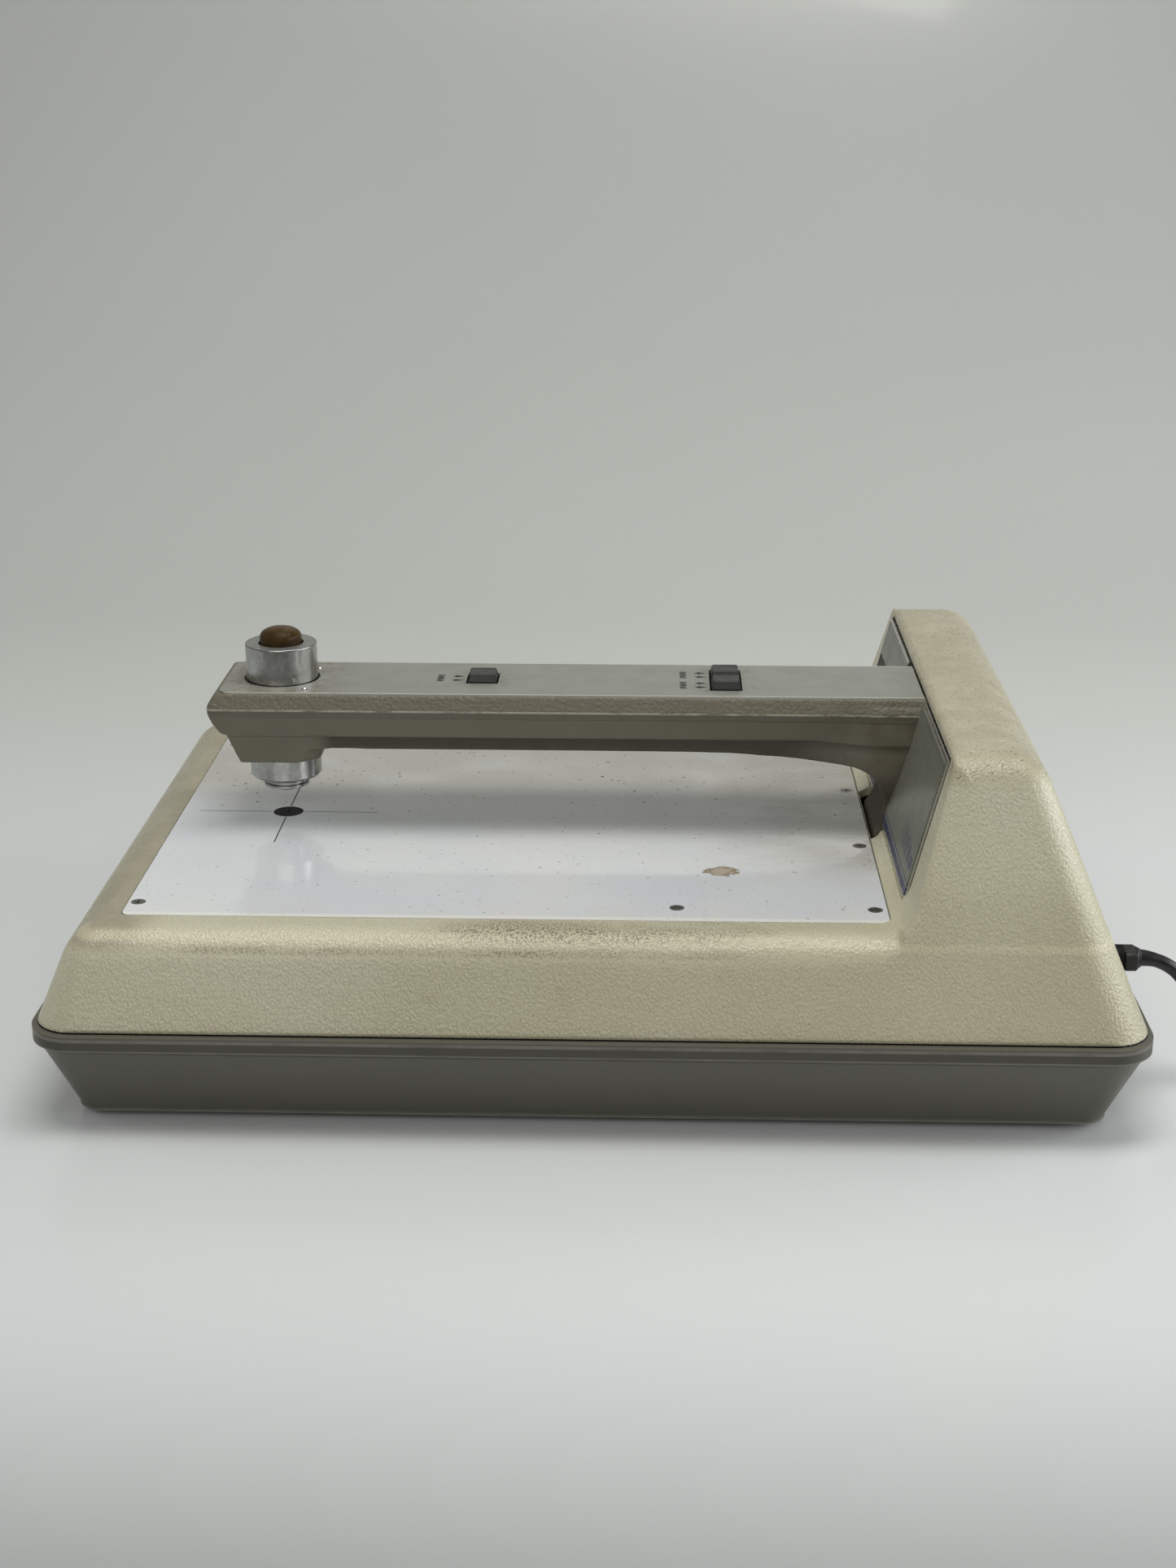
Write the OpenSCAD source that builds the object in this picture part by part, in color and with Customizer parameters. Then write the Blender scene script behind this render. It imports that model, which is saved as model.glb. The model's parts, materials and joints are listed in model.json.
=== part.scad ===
// Table-top transmission densitometer. A light table lies in a sloped case, and a fixed arm
// carries a sprung optics tube over the reading aperture. The tube is pushed down onto the film.
// Millimetres. +Z is up, +X runs along the case towards the tower, and the origin is the centre
// of the tray's flat underside. Arm heights are measured from the light table's top face, and
// arm lengths from the reading aperture's axis.

/* [Tray] */
// Length of the tray over its lip
lip_l = 420.5; // [410:0.5:430]
// Width of the tray over its lip
lip_w = 301; // [295:0.5:310]
// Height of the lip's top above the underside
lip_top = 36.8; // [36:0.1:37.2]
// Thickness of the lip
lip_t = 5.8; // [4:0.1:8]
// How far each wall leans in between the lip and the underside
tray_lean = 14; // [10:0.5:16]
// How far the rubber feet stand below the underside
foot_h = 3; // [2:0.5:5]

/* [Case] */
// Height of the light table's top face
table_z = 73.5; // [73:0.1:74]
// Height of the tower's flat top
tower_z = 137.5; // [137:0.1:138.5]
// Length of the shell at its bottom edge
shell_l = 417.5; // [415:0.5:419]
// Width of the shell at its bottom edge
shell_w = 295; // [293:0.5:297]
// Inward lean of the end walls, in mm for each mm of height
end_draft = 0.42; // [0.4:0.01:0.44]
// Inward lean of the side walls, in mm for each mm of height
side_draft = 0.305; // [0.3:0.005:0.31]
// Radius of the shell's top edges
edge_r = 10; // [8:0.5:11]
// Wall thickness of the shell and the tray
wall = 3; // [2.5:0.1:3.2]

/* [Tower] */
// Where the tower's front plane crosses the light table's level
front_x = 118.25; // [118:0.05:118.5]
// Backward lean of the tower's front, in mm for each mm of height
front_lean = 0.25; // [0.24:0.01:0.26]
// Width of the front panel
panel_w = 213; // [211:0.5:214]
// Height of the front panel along its slope
panel_h = 57.5; // [57:0.1:58]

/* [Light table] */
// Length of the light table's plate
plate_l = 290.8; // [290:0.1:291]
// Width of the light table's plate
plate_w = 237.5; // [236:0.5:238]
// Thickness of the plate
plate_t = 5; // [4.5:0.1:5.5]
// Where the reading aperture's axis stands along the case
aperture_x = -132.75; // [-133:0.05:-132.5]
// Width across the aperture disc
disc_d = 12.7; // [12:0.1:13]
// Length of each crosshair line
cross_l = 76.2; // [70:0.1:80]

/* [Arm] */
// Height of the arm's label over the light table
arm_top = 60; // [59.8:0.1:60.2]
// Half the width of the arm at its lip
arm_half = 27.5; // [27:0.1:28]
// Underside of the arm over the light table
keel_z = 34.5; // [34:0.1:35]
// Underside of the head that guides the tube
head_z = 29.6; // [29:0.1:30]

/* [Optics] */
// Radius of the aluminium optics tube
tube_r = 14.9; // [14.8:0.05:14.9]
// Height of the tube's top at rest
tube_top = 75.2; // [74:0.1:76]
// Gap under the nose at rest, which is the tube's travel
nose_gap = 11.5; // [11.4:0.1:11.6]
// Radius of the read button
button_r = 8.9; // [8:0.1:9]

/* [Keys] */
// Width of a key along the arm
key_l = 12; // [11.5:0.1:12.2]
// Width of a key across the arm
key_w = 14.4; // [14:0.1:14.6]
// Height of a key's top over the label
key_h = 3.4; // [3:0.1:4]

/* [Power lead] */
// Radius of the lead
lead_r = 2.75; // [2:0.05:3]
// Radius of the lead's first bend, below the plug
lead_bend = 21.5; // [18:0.5:26]

/* [Hidden] */

$fn = 64;
HULL_FN = 32;
SKIN = 0.01;

CREAM = [0.86, 0.83, 0.71];
TAUPE = [0.42, 0.40, 0.35];
GREYGREEN = [0.56, 0.57, 0.54];
BLACK = [0.07, 0.07, 0.07];
WHITE = [0.93, 0.94, 0.95];
METAL = [0.77, 0.78, 0.79];
STEEL = [0.55, 0.56, 0.57];
AMBER = [0.42, 0.27, 0.12];
KEYGREY = [0.25, 0.26, 0.28];
BOARD = [0.10, 0.35, 0.20];
GLASS = [0.85, 0.90, 0.92];

// Tray
bottom_l = lip_l - 2 * tray_lean;
bottom_w = lip_w - 2 * tray_lean;
lip_r = 17;
bottom_r = 10;
skirt_in = 2.5;
lip_z = lip_top - lip_t;
skirt_z = lip_z - 2;
foot_r = 9;
foot_sink = 1.5;
foot_x = 165;
foot_y = 108;
post_x = 176;
post_y = 116;
post_r = 6;
screw_r = 1.7;
head_pocket_r = 4;
head_pocket_h = 12;

// Shell
shell_z = lip_top + 1;
shell_r = 16;
ring_under = table_z - plate_t - 3.5;
front_r = 4;

function half_l(z) = shell_l / 2 - end_draft * (z - shell_z);
function half_w(z) = shell_w / 2 - side_draft * (z - shell_z);
function ball_in(draft, r) = r / cos(atan(draft));
function face_x(z) = front_x + front_lean * (z - table_z);

// Outline of the slot round the arm's neck, across (first) and up the slope from table level
function slot_section() = [[root_half + neck_gap, 0], [root_half + neck_gap, 10.5], [25.2, 22.5],
    [slot_half, 41], [slot_half, panel_s + panel_h + 0.5], [-slot_half, panel_s + panel_h + 0.5],
    [-slot_half, 41], [-25.2, 22.5], [-root_half - neck_gap, 10.5], [-root_half - neck_gap, 0]];

// Light table
plate_x = aperture_x - 45.2 + plate_l / 2;
plate_z = table_z - plate_t;
plate_r = 3.5;
ledge_in = 10;
ledge_side_in = 19.5;
table_screw_r = 1.5;
table_head_r = 2.85;
table_head_h = 1.5;
row_y = 105.5;
column_y = 35.2;
screw_xs = [aperture_x - 41.3, aperture_x + 165.5, aperture_x + 241];
disc_t = 1.5;
read_hole_r = 0.5;
light_hole_r = 4;
cross_t = 0.5;
cross_depth = 0.2;

// Light source
box_wall = 1.5;
box_z = 38;
box_x0 = -166;
box_x1 = 100;
box_half = 96;
lamp_r = 7.8;
lamp_y = 52;
lamp_z = 50;
lamp_x0 = -116;
lamp_x1 = 80;
socket_t = 10;
house_r = 22;
house_top = 62;
barrel_r = 12;
lens_r = 9.45;

// Panel and display
panel_t = 2;
panel_proud = 0.8;
panel_s = 4.33;
overlay_t = 0.3;
overlay_in = 1.5;
slot_half = 30.5;
slot_depth = 8;
neck_gap = 0.8;
window_y0 = 33;
window_y1 = 103;
window_s0 = 20.6;
window_s1 = 45.4;

// Electronics
board_z = 12;
board_t = 1.6;
board_x0 = -80;
board_x1 = 110;
board_half = 80;
standoff_in = 8;
connector_h = 9;
pedestal_x0 = 120;
pedestal_x1 = 158;
pedestal_half = 26;

// Arm, in heights above the table and lengths from the aperture's axis
label_t = 1.2;
cast_top = arm_top - label_t;
label_x0 = -23;
label_x1 = 266;
label_half = 24;
root_x0 = 252.8;
root_x1 = 286;
root_half = 18.6;
root_z = -14;
well_x = 246;
well_half = 30;
well_back = 23.5;
bush_r = 16.8;
bush_z0 = 34;
bush_z1 = 38.5;
bush_gap = 0.05;
pocket_r = 17.6;
pocket_z = 43;
pocket_half = 19.5;
bolt_r = 1.95;
bolt_y = 13.5;
bolt_xs = [259.5, 280];
key_xs = [84.4, 185.7];
key_pitch = 15.4;
key_gap = 0.7;
key_travel = 1.5;
board_under = 45;
label_screw_r = 0.95;
label_screws_at = [[12, -18.2], [13.9, 13.4]];

// Optics, in heights above the table
tube_bottom = 17.6;
tube_bore_r = 12.2;
button_hole_r = 9.3;
tube_cap_t = 3.5;
ring_r = 17.2;
ring_z0 = 56.6;
ring_z1 = 58.6;
wire_r = 0.45;
coil_r = 16.1;
coil_turns = 4.5;

// Power
jack_y = -90;
jack_z = 48.5;
jack_r = 5.2;
plug_x0 = 206.8;
plug_x1 = 213.3;
lead_angle = 60;
lead_end_z = 2;
connector_r = 5;
connector_l = 26;

// Shared shapes

// A rectangle with round corners, centred
module rounded(l, w, r) {
    square([l - 2 * r, w], center = true);
    square([l, w - 2 * r], center = true);
    for (x = [-1, 1], y = [-1, 1])
        translate([x * (l / 2 - r), y * (w / 2 - r)]) circle(r);
}

// A thin layer of that rectangle, for use inside hull()
module layer(l, w, r, z) {
    translate([0, 0, z]) linear_extrude(SKIN) rounded(l, w, r, $fn = HULL_FN);
}

// A block whose walls lean in and whose top edges are round; skin makes it smaller all round
module leaning_block(top, skin) {
    r = edge_r - skin;
    zc = top - edge_r;
    xc = half_l(zc) - ball_in(end_draft, skin) - ball_in(end_draft, r);
    yc = half_w(zc) - ball_in(side_draft, skin) - ball_in(side_draft, r);
    bottom = shell_z - (skin > 0 ? 1 : 0);
    hull() {
        for (x = [-1, 1], y = [-1, 1])
            translate([x * xc, y * yc, zc]) sphere(r, $fn = HULL_FN);
        layer(2 * (half_l(bottom) - ball_in(end_draft, skin)),
            2 * (half_w(bottom) - ball_in(side_draft, skin)), shell_r - skin, bottom);
    }
}

// The low part of the case, which ends inside the tower
module ring_block(skin) {
    intersection() {
        leaning_block(table_z, skin);
        block([-shell_l, -shell_w, 0], [front_x + 30, shell_w, tower_z]);
    }
}

// The space behind the tower's front face, with small round edges where the face meets its neighbours
module behind_front(skin) {
    r = front_r - skin / 2;
    back = shell_l / 2 + 5;
    low = shell_z;
    hull() {
        for (y = [-1, 1], z = [low, tower_z - skin - r])
            translate([face_x(z) + skin + ball_in(front_lean, r),
                y * (half_w(z) - ball_in(side_draft, skin) - ball_in(side_draft, r)), z])
                sphere(r, $fn = HULL_FN);
        block([back - 1, -half_w(low), low - r], [back, half_w(low), tower_z - skin]);
    }
}

// The slope that leads from the ring up to the panel's lower edge
module ring_slope() {
    rotate([90, 0, 0]) linear_extrude(2 * half_w(table_z) - 2 * edge_r, center = true)
        polygon([[front_x - 5, ring_under], [front_x - 5, table_z],
            [face_x(table_z + panel_s), table_z + panel_s], [front_x + 10, ring_under]]);
}

// Places its children on the tower's front: X into the tower, Z up the slope from table level
module on_front() {
    translate([front_x, 0, table_z]) rotate([0, atan(front_lean), 0]) children();
}

// Places its children at the reading aperture, with Z = 0 on the light table
module at_aperture() {
    translate([aperture_x, 0, table_z]) children();
}

// A ring or tube about Z
module tube(r, bore, z0, z1) {
    difference() {
        translate([0, 0, z0]) cylinder(r = r, h = z1 - z0);
        translate([0, 0, z0 - 1]) cylinder(r = bore, h = z1 - z0 + 2);
    }
}

// A cylinder about Z between two heights
module rod(r, z0, z1) {
    translate([0, 0, z0]) cylinder(r = r, h = z1 - z0);
}

// A box given by its low and high corners
module block(low, high) {
    translate(low) cube(high - low);
}

// Six places where screws join the tray to the shell
module at_posts() {
    for (x = [-post_x, 0, post_x], y = [-post_y, post_y])
        translate([x, y, 0]) children();
}

module at_feet() {
    for (x = [-foot_x, foot_x], y = [-foot_y, foot_y])
        translate([x, y, 0]) children();
}

module at_table_screws() {
    for (x = screw_xs, y = [-row_y, row_y]) translate([x, y, 0]) children();
    for (y = [-column_y, column_y]) translate([screw_xs[2], y, 0]) children();
}

module at_board_corners() {
    for (x = [board_x0 + standoff_in, board_x1 - standoff_in],
            y = [-board_half + standoff_in, board_half - standoff_in])
        translate([x, y, 0]) children();
}

module at_arm_bolts() {
    for (x = bolt_xs, y = [-bolt_y, bolt_y]) translate([x, y, 0]) children();
}

module at_pedestal_screws() {
    for (x = [pedestal_x0 + 8, pedestal_x1 - 8], y = [-pedestal_half - 7, pedestal_half + 7])
        translate([x, y, 0]) children();
}

// Case

module base_tray() color(TAUPE) difference() {
    union() {
        difference() {
            union() {
                linear_extrude(wall) rounded(bottom_l, bottom_w, bottom_r);
                hull() {
                    layer(bottom_l, bottom_w, bottom_r, wall / 2);
                    layer(lip_l - 2 * skirt_in, lip_w - 2 * skirt_in, lip_r - 2, skirt_z);
                }
                hull() {
                    layer(lip_l - 2 * skirt_in, lip_w - 2 * skirt_in, lip_r - 2, skirt_z);
                    layer(lip_l, lip_w, lip_r, lip_z);
                }
                translate([0, 0, lip_z]) linear_extrude(lip_t) rounded(lip_l, lip_w, lip_r);
            }
            hull() {
                layer(bottom_l - 2 * wall, bottom_w - 2 * wall, bottom_r - wall, wall);
                layer(lip_l - 2 * (skirt_in + wall), lip_w - 2 * (skirt_in + wall),
                    lip_r - wall, lip_top + 1);
            }
        }
        at_posts() rod(post_r, wall / 2, lip_top);
    }
    at_posts() rod(screw_r + 0.4, -1, lip_top + 1);
    at_posts() rod(head_pocket_r, -1, head_pocket_h);
    at_feet() rod(foot_r + 0.2, -1, foot_sink);
    at_pedestal_screws() rod(screw_r, -1, wall + 1);
}

module rubber_feet() color(BLACK) at_feet() {
    rod(foot_r, 0, foot_sink);
    translate([0, 0, -foot_h]) cylinder(r1 = foot_r - 1, r2 = foot_r, h = foot_h);
}

module case_screws() color(STEEL) at_posts() {
    rod(head_pocket_r - 0.3, head_pocket_h - 2.6, head_pocket_h);
    rod(screw_r, head_pocket_h - 1, lip_top + 12);
}

module case_gasket() color(BLACK) translate([0, 0, lip_top]) linear_extrude(shell_z - lip_top)
    difference() {
        rounded(shell_l - 3, shell_w - 3, shell_r - 1.5);
        rounded(shell_l - 8, shell_w - 8, shell_r - 4);
    }

module top_shell() color(CREAM) difference() {
    union() {
        difference() {
            union() {
                ring_block(0);
                intersection() {
                    leaning_block(tower_z, 0);
                    behind_front(0);
                }
                ring_slope();
            }
            intersection() {
                ring_block(wall);
                block([-shell_l, -shell_w, 0], [shell_l, shell_w, ring_under]);
            }
            intersection() {
                leaning_block(tower_z, wall);
                behind_front(wall);
            }
        }
        shell_bosses();
    }
    // recess and window for the light table
    translate([plate_x, 0, plate_z]) linear_extrude(plate_t + 1)
        rounded(plate_l + 0.6, plate_w + 0.6, plate_r);
    block([plate_x - plate_l / 2 + ledge_in, -plate_w / 2 + ledge_side_in, ring_under - 1],
        [plate_x + plate_l / 2 - ledge_in, plate_w / 2 - ledge_side_in, table_z]);
    at_table_screws() rod(table_screw_r + 0.05, ring_under - 1, table_z);
    at_posts() rod(screw_r + 0.05, shell_z - 2, shell_z + 13);
    // recess for the panel, slot for the arm's neck, and window for the display
    on_front() {
        block([panel_proud - panel_t - 1, -panel_w / 2 - 0.7, panel_s - 0.5],
            [panel_t - panel_proud, panel_w / 2 + 0.7, panel_s + panel_h + 0.5]);
        along_arm(-5, slot_depth, slot_section());
        block([-1, window_y0 - 2, window_s0 - 2.5], [12, window_y1 + 2, window_s1 + 3]);
    }
    at_aperture() neck_well();
    translate([half_l(jack_z) - 20, jack_y, jack_z]) rotate([0, 90, 0]) rod(jack_r + 0.1, 0, 30);
}

// The well that the arm's neck goes down through, which widens towards the light table
module neck_well() {
    translate([0, 0, root_z - 2]) linear_extrude(panel_s + 10 - root_z)
        polygon([[well_x, well_half], [well_x + 3.5, well_half], [root_x0 + 0.7, well_back],
            [root_x1, well_back], [root_x1, -well_back], [root_x0 + 0.7, -well_back],
            [well_x + 3.5, -well_half], [well_x, -well_half]]);
}

// Screw bosses under the ring, and webs that tie the tower's two bosses to its side walls
module shell_bosses() {
    at_posts() rod(post_r - 0.5, shell_z - 1, ring_under + 1);
    for (y = [-1, 1]) translate([post_x, y * (post_y + 13), (shell_z + ring_under) / 2 + 2])
        cube([3, 20, ring_under - shell_z - 8], center = true);
}

// Light table

module light_table() color(WHITE) difference() {
    translate([plate_x, 0, plate_z]) linear_extrude(plate_t) rounded(plate_l, plate_w, plate_r);
    at_table_screws() {
        rod(table_screw_r + 0.1, plate_z - 1, table_z);
        translate([0, 0, table_z - table_head_h])
            cylinder(r1 = table_screw_r + 0.1, r2 = table_head_r + 0.05, h = table_head_h);
        rod(table_head_r + 0.05, table_z, table_z + 1);
    }
    translate([aperture_x, 0, 0]) {
        rod(light_hole_r, plate_z - 1, table_z + 1);
        rod(disc_d / 2 + 0.02, table_z - disc_t, table_z + 1);
    }
    crosshair_bars(1);
}

// The four arms of the crosshair, which stop at the aperture disc
module crosshair_bars(above) {
    at_aperture() for (a = [0 : 90 : 270]) rotate([0, 0, a])
        block([disc_d / 2 + 0.5, -cross_t / 2, -cross_depth], [cross_l / 2, cross_t / 2, above]);
}

module crosshair_inlay() color(BLACK) crosshair_bars(0);

module table_screws() color(STEEL) at_table_screws() difference() {
    union() {
        translate([0, 0, table_z - table_head_h])
            cylinder(r1 = table_screw_r, r2 = table_head_r, h = table_head_h);
        rod(table_screw_r, ring_under, table_z - table_head_h);
    }
    for (a = [0, 90]) rotate([0, 0, a])
        translate([0, 0, table_z]) cube([3.2, 0.7, 1.6], center = true);
}

module aperture_disc() color(BLACK) translate([aperture_x, 0, 0])
    tube(disc_d / 2, read_hole_r, table_z - disc_t, table_z);

// Light source

module light_box() color(WHITE) difference() {
    union() {
        block([box_x0, -box_half, box_z], [box_x1, box_half, ring_under]);
        block([box_x0 - 6, -box_half - 6, ring_under - 1], [box_x1 + 6, box_half + 6, ring_under]);
    }
    block([box_x0 + box_wall, -box_half + box_wall, box_z + box_wall],
        [box_x1 - box_wall, box_half - box_wall, ring_under + 1]);
    translate([aperture_x, 0, 0]) rod(house_r + 1, box_z - 1, box_z + 3);
}

module backlight_lamps() color(WHITE) for (y = [-lamp_y, lamp_y])
    translate([0, y, lamp_z]) rotate([0, 90, 0]) {
        rod(lamp_r, lamp_x0, lamp_x1);
        for (p = [-4, 4]) translate([0, p, 0]) rod(1, lamp_x0 - 5, lamp_x1 + 5);
    }

module lamp_sockets() color(WHITE) for (y = [-lamp_y, lamp_y], x = [lamp_x0 - socket_t, lamp_x1])
    difference() {
        block([x, y - 10, box_z + box_wall], [x + socket_t, y + 10, lamp_z + 10]);
        for (p = [-4, 4]) translate([0, y + p, lamp_z]) rotate([0, 90, 0])
            rod(1.05, lamp_x0 - 5.1, lamp_x1 + 5.1);
    }

module lamp_house() color(METAL) translate([aperture_x, 0, 0]) {
    tube(house_r, house_r - 2, wall, house_top);
    tube(house_r - 1, barrel_r + 0.1, house_top - 2, house_top);
}

module lamp_holder() color(WHITE) translate([aperture_x, 0, 0]) rod(12, wall, 22);

module read_lamp() color(GLASS) translate([aperture_x, 0, 0]) {
    rod(5.5, 22, 40);
    translate([0, 0, 40]) sphere(5.5);
}

module lens_barrel() color(BLACK) translate([aperture_x, 0, 0]) {
    tube(barrel_r, lens_r + 0.05, house_top - 5, plate_z);
    tube(barrel_r + 3, barrel_r - 1, house_top - 5, house_top - 2);
}

module condenser_lens() color(GLASS) translate([aperture_x, 0, 62]) intersection() {
    translate([0, 0, -17]) sphere(20);
    translate([0, 0, 17]) sphere(20);
    cylinder(r = lens_r, h = 10, center = true);
}

// Front panel and display

module panel_cutouts() {
    along_arm(-5, 5, slot_section());
    block([-5, window_y0, window_s0], [5, window_y1, window_s1]);
}

// One half of the panel: side is -1 for the near half and 1 for the far half, with the window
module panel_plate(side) {
    edge = side * panel_w / 2;
    on_front() difference() {
        block([-panel_proud, min(0, edge), panel_s],
            [panel_t - panel_proud, max(0, edge), panel_s + panel_h]);
        panel_cutouts();
    }
}

// The printed film on one half of the panel
module panel_film(side) {
    edge = side * (panel_w / 2 - overlay_in);
    on_front() difference() {
        block([-panel_proud - overlay_t, min(0, edge), panel_s + overlay_in],
            [-panel_proud, max(0, edge), panel_s + panel_h - overlay_in]);
        panel_cutouts();
    }
}

module panel_near() color(METAL) panel_plate(-1);
module panel_far() color(METAL) panel_plate(1);
module overlay_near() color(GREYGREEN) panel_film(-1);
module overlay_far() color(GREYGREEN) panel_film(1);

module display_window() color([0.25, 0.03, 0.03]) on_front()
    block([panel_t - panel_proud, window_y0 - 1.5, window_s0 - 1.5],
        [panel_t - panel_proud + 2, window_y1 + 1.5, window_s1 + 1.5]);

module display_module() color(BLACK) on_front()
    block([5, window_y0 + 3, window_s0 + 1], [14, window_y1 - 3, window_s1 - 1]);

module display_digits() color(WHITE) on_front() for (i = [0 : 3])
    translate([0, window_y0 + 7 + i * 14.5, 0])
        block([3.8, 0, window_s0 + 4], [5, 12.5, window_s1 - 4]);

// Electronics in the case

module main_board() color(BOARD) difference() {
    block([board_x0, -board_half, board_z], [board_x1, board_half, board_z + board_t]);
    at_board_corners() rod(1.6, board_z - 1, board_z + board_t + 1);
}

module board_components() color(BLACK) {
    top = board_z + board_t;
    for (x = [-50 : 30 : 40]) block([x, -40, top], [x + 22, -31, top + 4]);
    for (x = [-50 : 30 : 40]) block([x, 20, top], [x + 16, 28, top + 4]);
    for (y = [-10, 8]) translate([75, y, 0]) rod(6, top, top + 18);
    block([60, 40, top], [84, 64, top + 16]);
    block([96, -12, top], [104, 12, top + connector_h]);
    block([60, -60, top], [90, -48, top + 14]);
}

module board_standoffs() color(METAL) at_board_corners() tube(3.5, 1.45, wall, board_z);

module board_screws() color(STEEL) at_board_corners() {
    rod(1.4, wall + 1, board_z + board_t + 1);
    rod(3, board_z + board_t, board_z + board_t + 2);
}

module lamp_ballast() color(METAL) block([120, 52, wall], [180, 92, 30]);

// Arm

module arm_pedestal() color(STEEL) difference() {
    top = table_z + root_z;
    union() {
        block([pedestal_x0, -pedestal_half, wall], [pedestal_x1, pedestal_half, top]);
        block([pedestal_x0, -pedestal_half - 14, wall], [pedestal_x1, pedestal_half + 14, 2 * wall]);
    }
    block([pedestal_x0 - 1, wall - pedestal_half, 0], [pedestal_x1 + 1, pedestal_half - wall, top - wall]);
    at_pedestal_screws() rod(screw_r + 0.3, 0, 2 * wall + 1);
    at_aperture() at_arm_bolts() rod(bolt_r + 0.25, root_z - 5, root_z + 1);
    at_aperture() neck_channel(root_z - 5, root_z + 1);
}

// The way for the ribbon cable down the neck
module neck_channel(z0, z1) {
    block([265, -9, z0], [277, 9, z1]);
}

module pedestal_screws() color(STEEL) at_pedestal_screws() {
    rod(screw_r - 0.05, 0.5, 2 * wall + 1);
    rod(3.2, 2 * wall, 2 * wall + 2.4);
}

module arm_bolts() color(STEEL) at_aperture() at_arm_bolts() {
    rod(bolt_r, root_z - 4, root_z + 12);
    rod(3.5, root_z - 7, root_z - 3);
}

// Side view of the whole arm: tip, head, keel, and the neck that goes down into the case
module arm_side() {
    rotate([90, 0, 0]) linear_extrude(2 * arm_half + 10, center = true)
        polygon([[-24.3, cast_top], [-28, 54.5], [-28, 51], [-21.7, 42.5], [-21, 41], [-16, head_z],
            [17, head_z], [19.5, 32], [22, keel_z], [168, keel_z], [200, 33.3], [222, 31.7],
            [236, 30.6], [242, 28.8], [247, 25.3], [248.3, 22], [251.3, 13.2], [252.4, 9.2],
            [root_x0, 2], [root_x0, root_z], [root_x1, root_z], [root_x1, cast_top]]);
}

// Cross-sections of the arm, drawn across (first) and up (second)
function arm_section() = [[24.9, cast_top], [arm_half, 54], [arm_half, 50.3], [23.5, 41],
    [-23.5, 41], [-arm_half, 50.3], [-arm_half, 54], [-24.9, cast_top]];
function keel_section() = [[20, 41.5], [19.5, 30], [-19.5, 30], [-20, 41.5]];
function root_section() = [[24.9, cast_top], [28, 54], [29, 44], [29, 40], [24.4, 22],
    [root_half, 10], [root_half, root_z], [-root_half, root_z], [-root_half, 10], [-24.4, 22],
    [-29, 40], [-29, 44], [-28, 54], [-24.9, cast_top]];

// Carries a cross-section along the arm from x0 to x1
module along_arm(x0, x1, points) {
    translate([x0, 0, 0]) rotate([90, 0, 90]) linear_extrude(x1 - x0) polygon(points);
}

module arm_plan() {
    translate([0, 0, root_z - 1]) linear_extrude(arm_top - root_z + 2) {
        translate([(root_x1 - 23) / 2, 0]) square([root_x1 + 23, 2 * arm_half + 6], center = true);
        translate([-25.5, 0]) square([5, 2 * arm_half - 10], center = true);
        for (y = [-1, 1]) translate([-23, y * (arm_half - 5)]) circle(5);
    }
}

// The head under the tip, which is narrower at its bottom
module arm_head() {
    hull() {
        translate([0, 0, 41]) linear_extrude(SKIN)
            polygon([[-21, -23], [10, -23], [20, -18], [20, 18], [10, 23], [-21, 23]]);
        translate([0, 0, head_z]) linear_extrude(SKIN)
            polygon([[-16, -20], [9.5, -20], [17, -13], [17, 13], [9.5, 20], [-16, 20]]);
    }
}

module arm_casting() color(TAUPE) at_aperture() difference() {
    intersection() {
        union() {
            along_arm(-28, root_x1, arm_section());
            along_arm(0, root_x1, keel_section());
            along_arm(250, root_x1, root_section());
            arm_head();
            hull() {
                along_arm(214, 214.1, keel_section());
                along_arm(249.9, 250, [[29, 44], [29, 40], [24.4, 22], [-24.4, 22], [-29, 40], [-29, 44]]);
            }
        }
        arm_side();
        arm_plan();
    }
    rod(tube_r + 0.2, head_z - 5, cast_top);
    rod(bush_r, bush_z0, cast_top + 1);
    rod(pocket_r, bush_z1, cast_top + 1);
    difference() {
        block([28, -pocket_half, pocket_z], [278, pocket_half, cast_top + 1]);
        for (x = [76, 190]) block([x, -16, 0], [x + 4, 16, board_under]);
    }
    block([10, -4, 48], [30, 4, cast_top + 1]);
    neck_channel(root_z - 1, pocket_z + 1);
    at_arm_bolts() rod(bolt_r + 0.05, root_z - 1, root_z + 14);
    for (p = label_screws_at) translate([p.x, p.y, 0]) rod(label_screw_r + 0.05, cast_top - 8, cast_top + 1);
}

module arm_label() color(GREYGREEN) at_aperture() difference() {
    translate([0, 0, cast_top]) linear_extrude(label_t) {
        translate([(label_x0 + 5 + label_x1) / 2, 0])
            square([label_x1 - label_x0 - 5, 2 * label_half], center = true);
        translate([label_x0 + 4, 0]) square([8, 2 * label_half - 10], center = true);
        for (y = [-1, 1]) translate([label_x0 + 5, y * (label_half - 5)]) circle(5);
    }
    rod(tube_r + 0.9, cast_top - 1, arm_top + 1);
    for (p = label_screws_at) translate([p.x, p.y, 0]) rod(label_screw_r + 0.15, cast_top - 1, arm_top + 1);
    for (i = [0, 1]) translate([key_xs[i], 0, arm_top])
        cube([key_l + 2 * key_gap, key_w + i * key_pitch + 2 * key_gap, 5], center = true);
}

module label_screws() color(METAL) at_aperture() for (p = label_screws_at)
    translate([p.x, p.y, 0]) {
        rod(label_screw_r, cast_top - 6, arm_top + 0.2);
        translate([0, 0, arm_top]) intersection() {
            translate([0, 0, -0.7]) sphere(1.6);
            rod(1.6, 0, 2);
        }
    }

module guide_bushing() color([0.70, 0.55, 0.30]) at_aperture()
    tube(bush_r - 0.02, tube_r + bush_gap, bush_z0, bush_z1);

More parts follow.
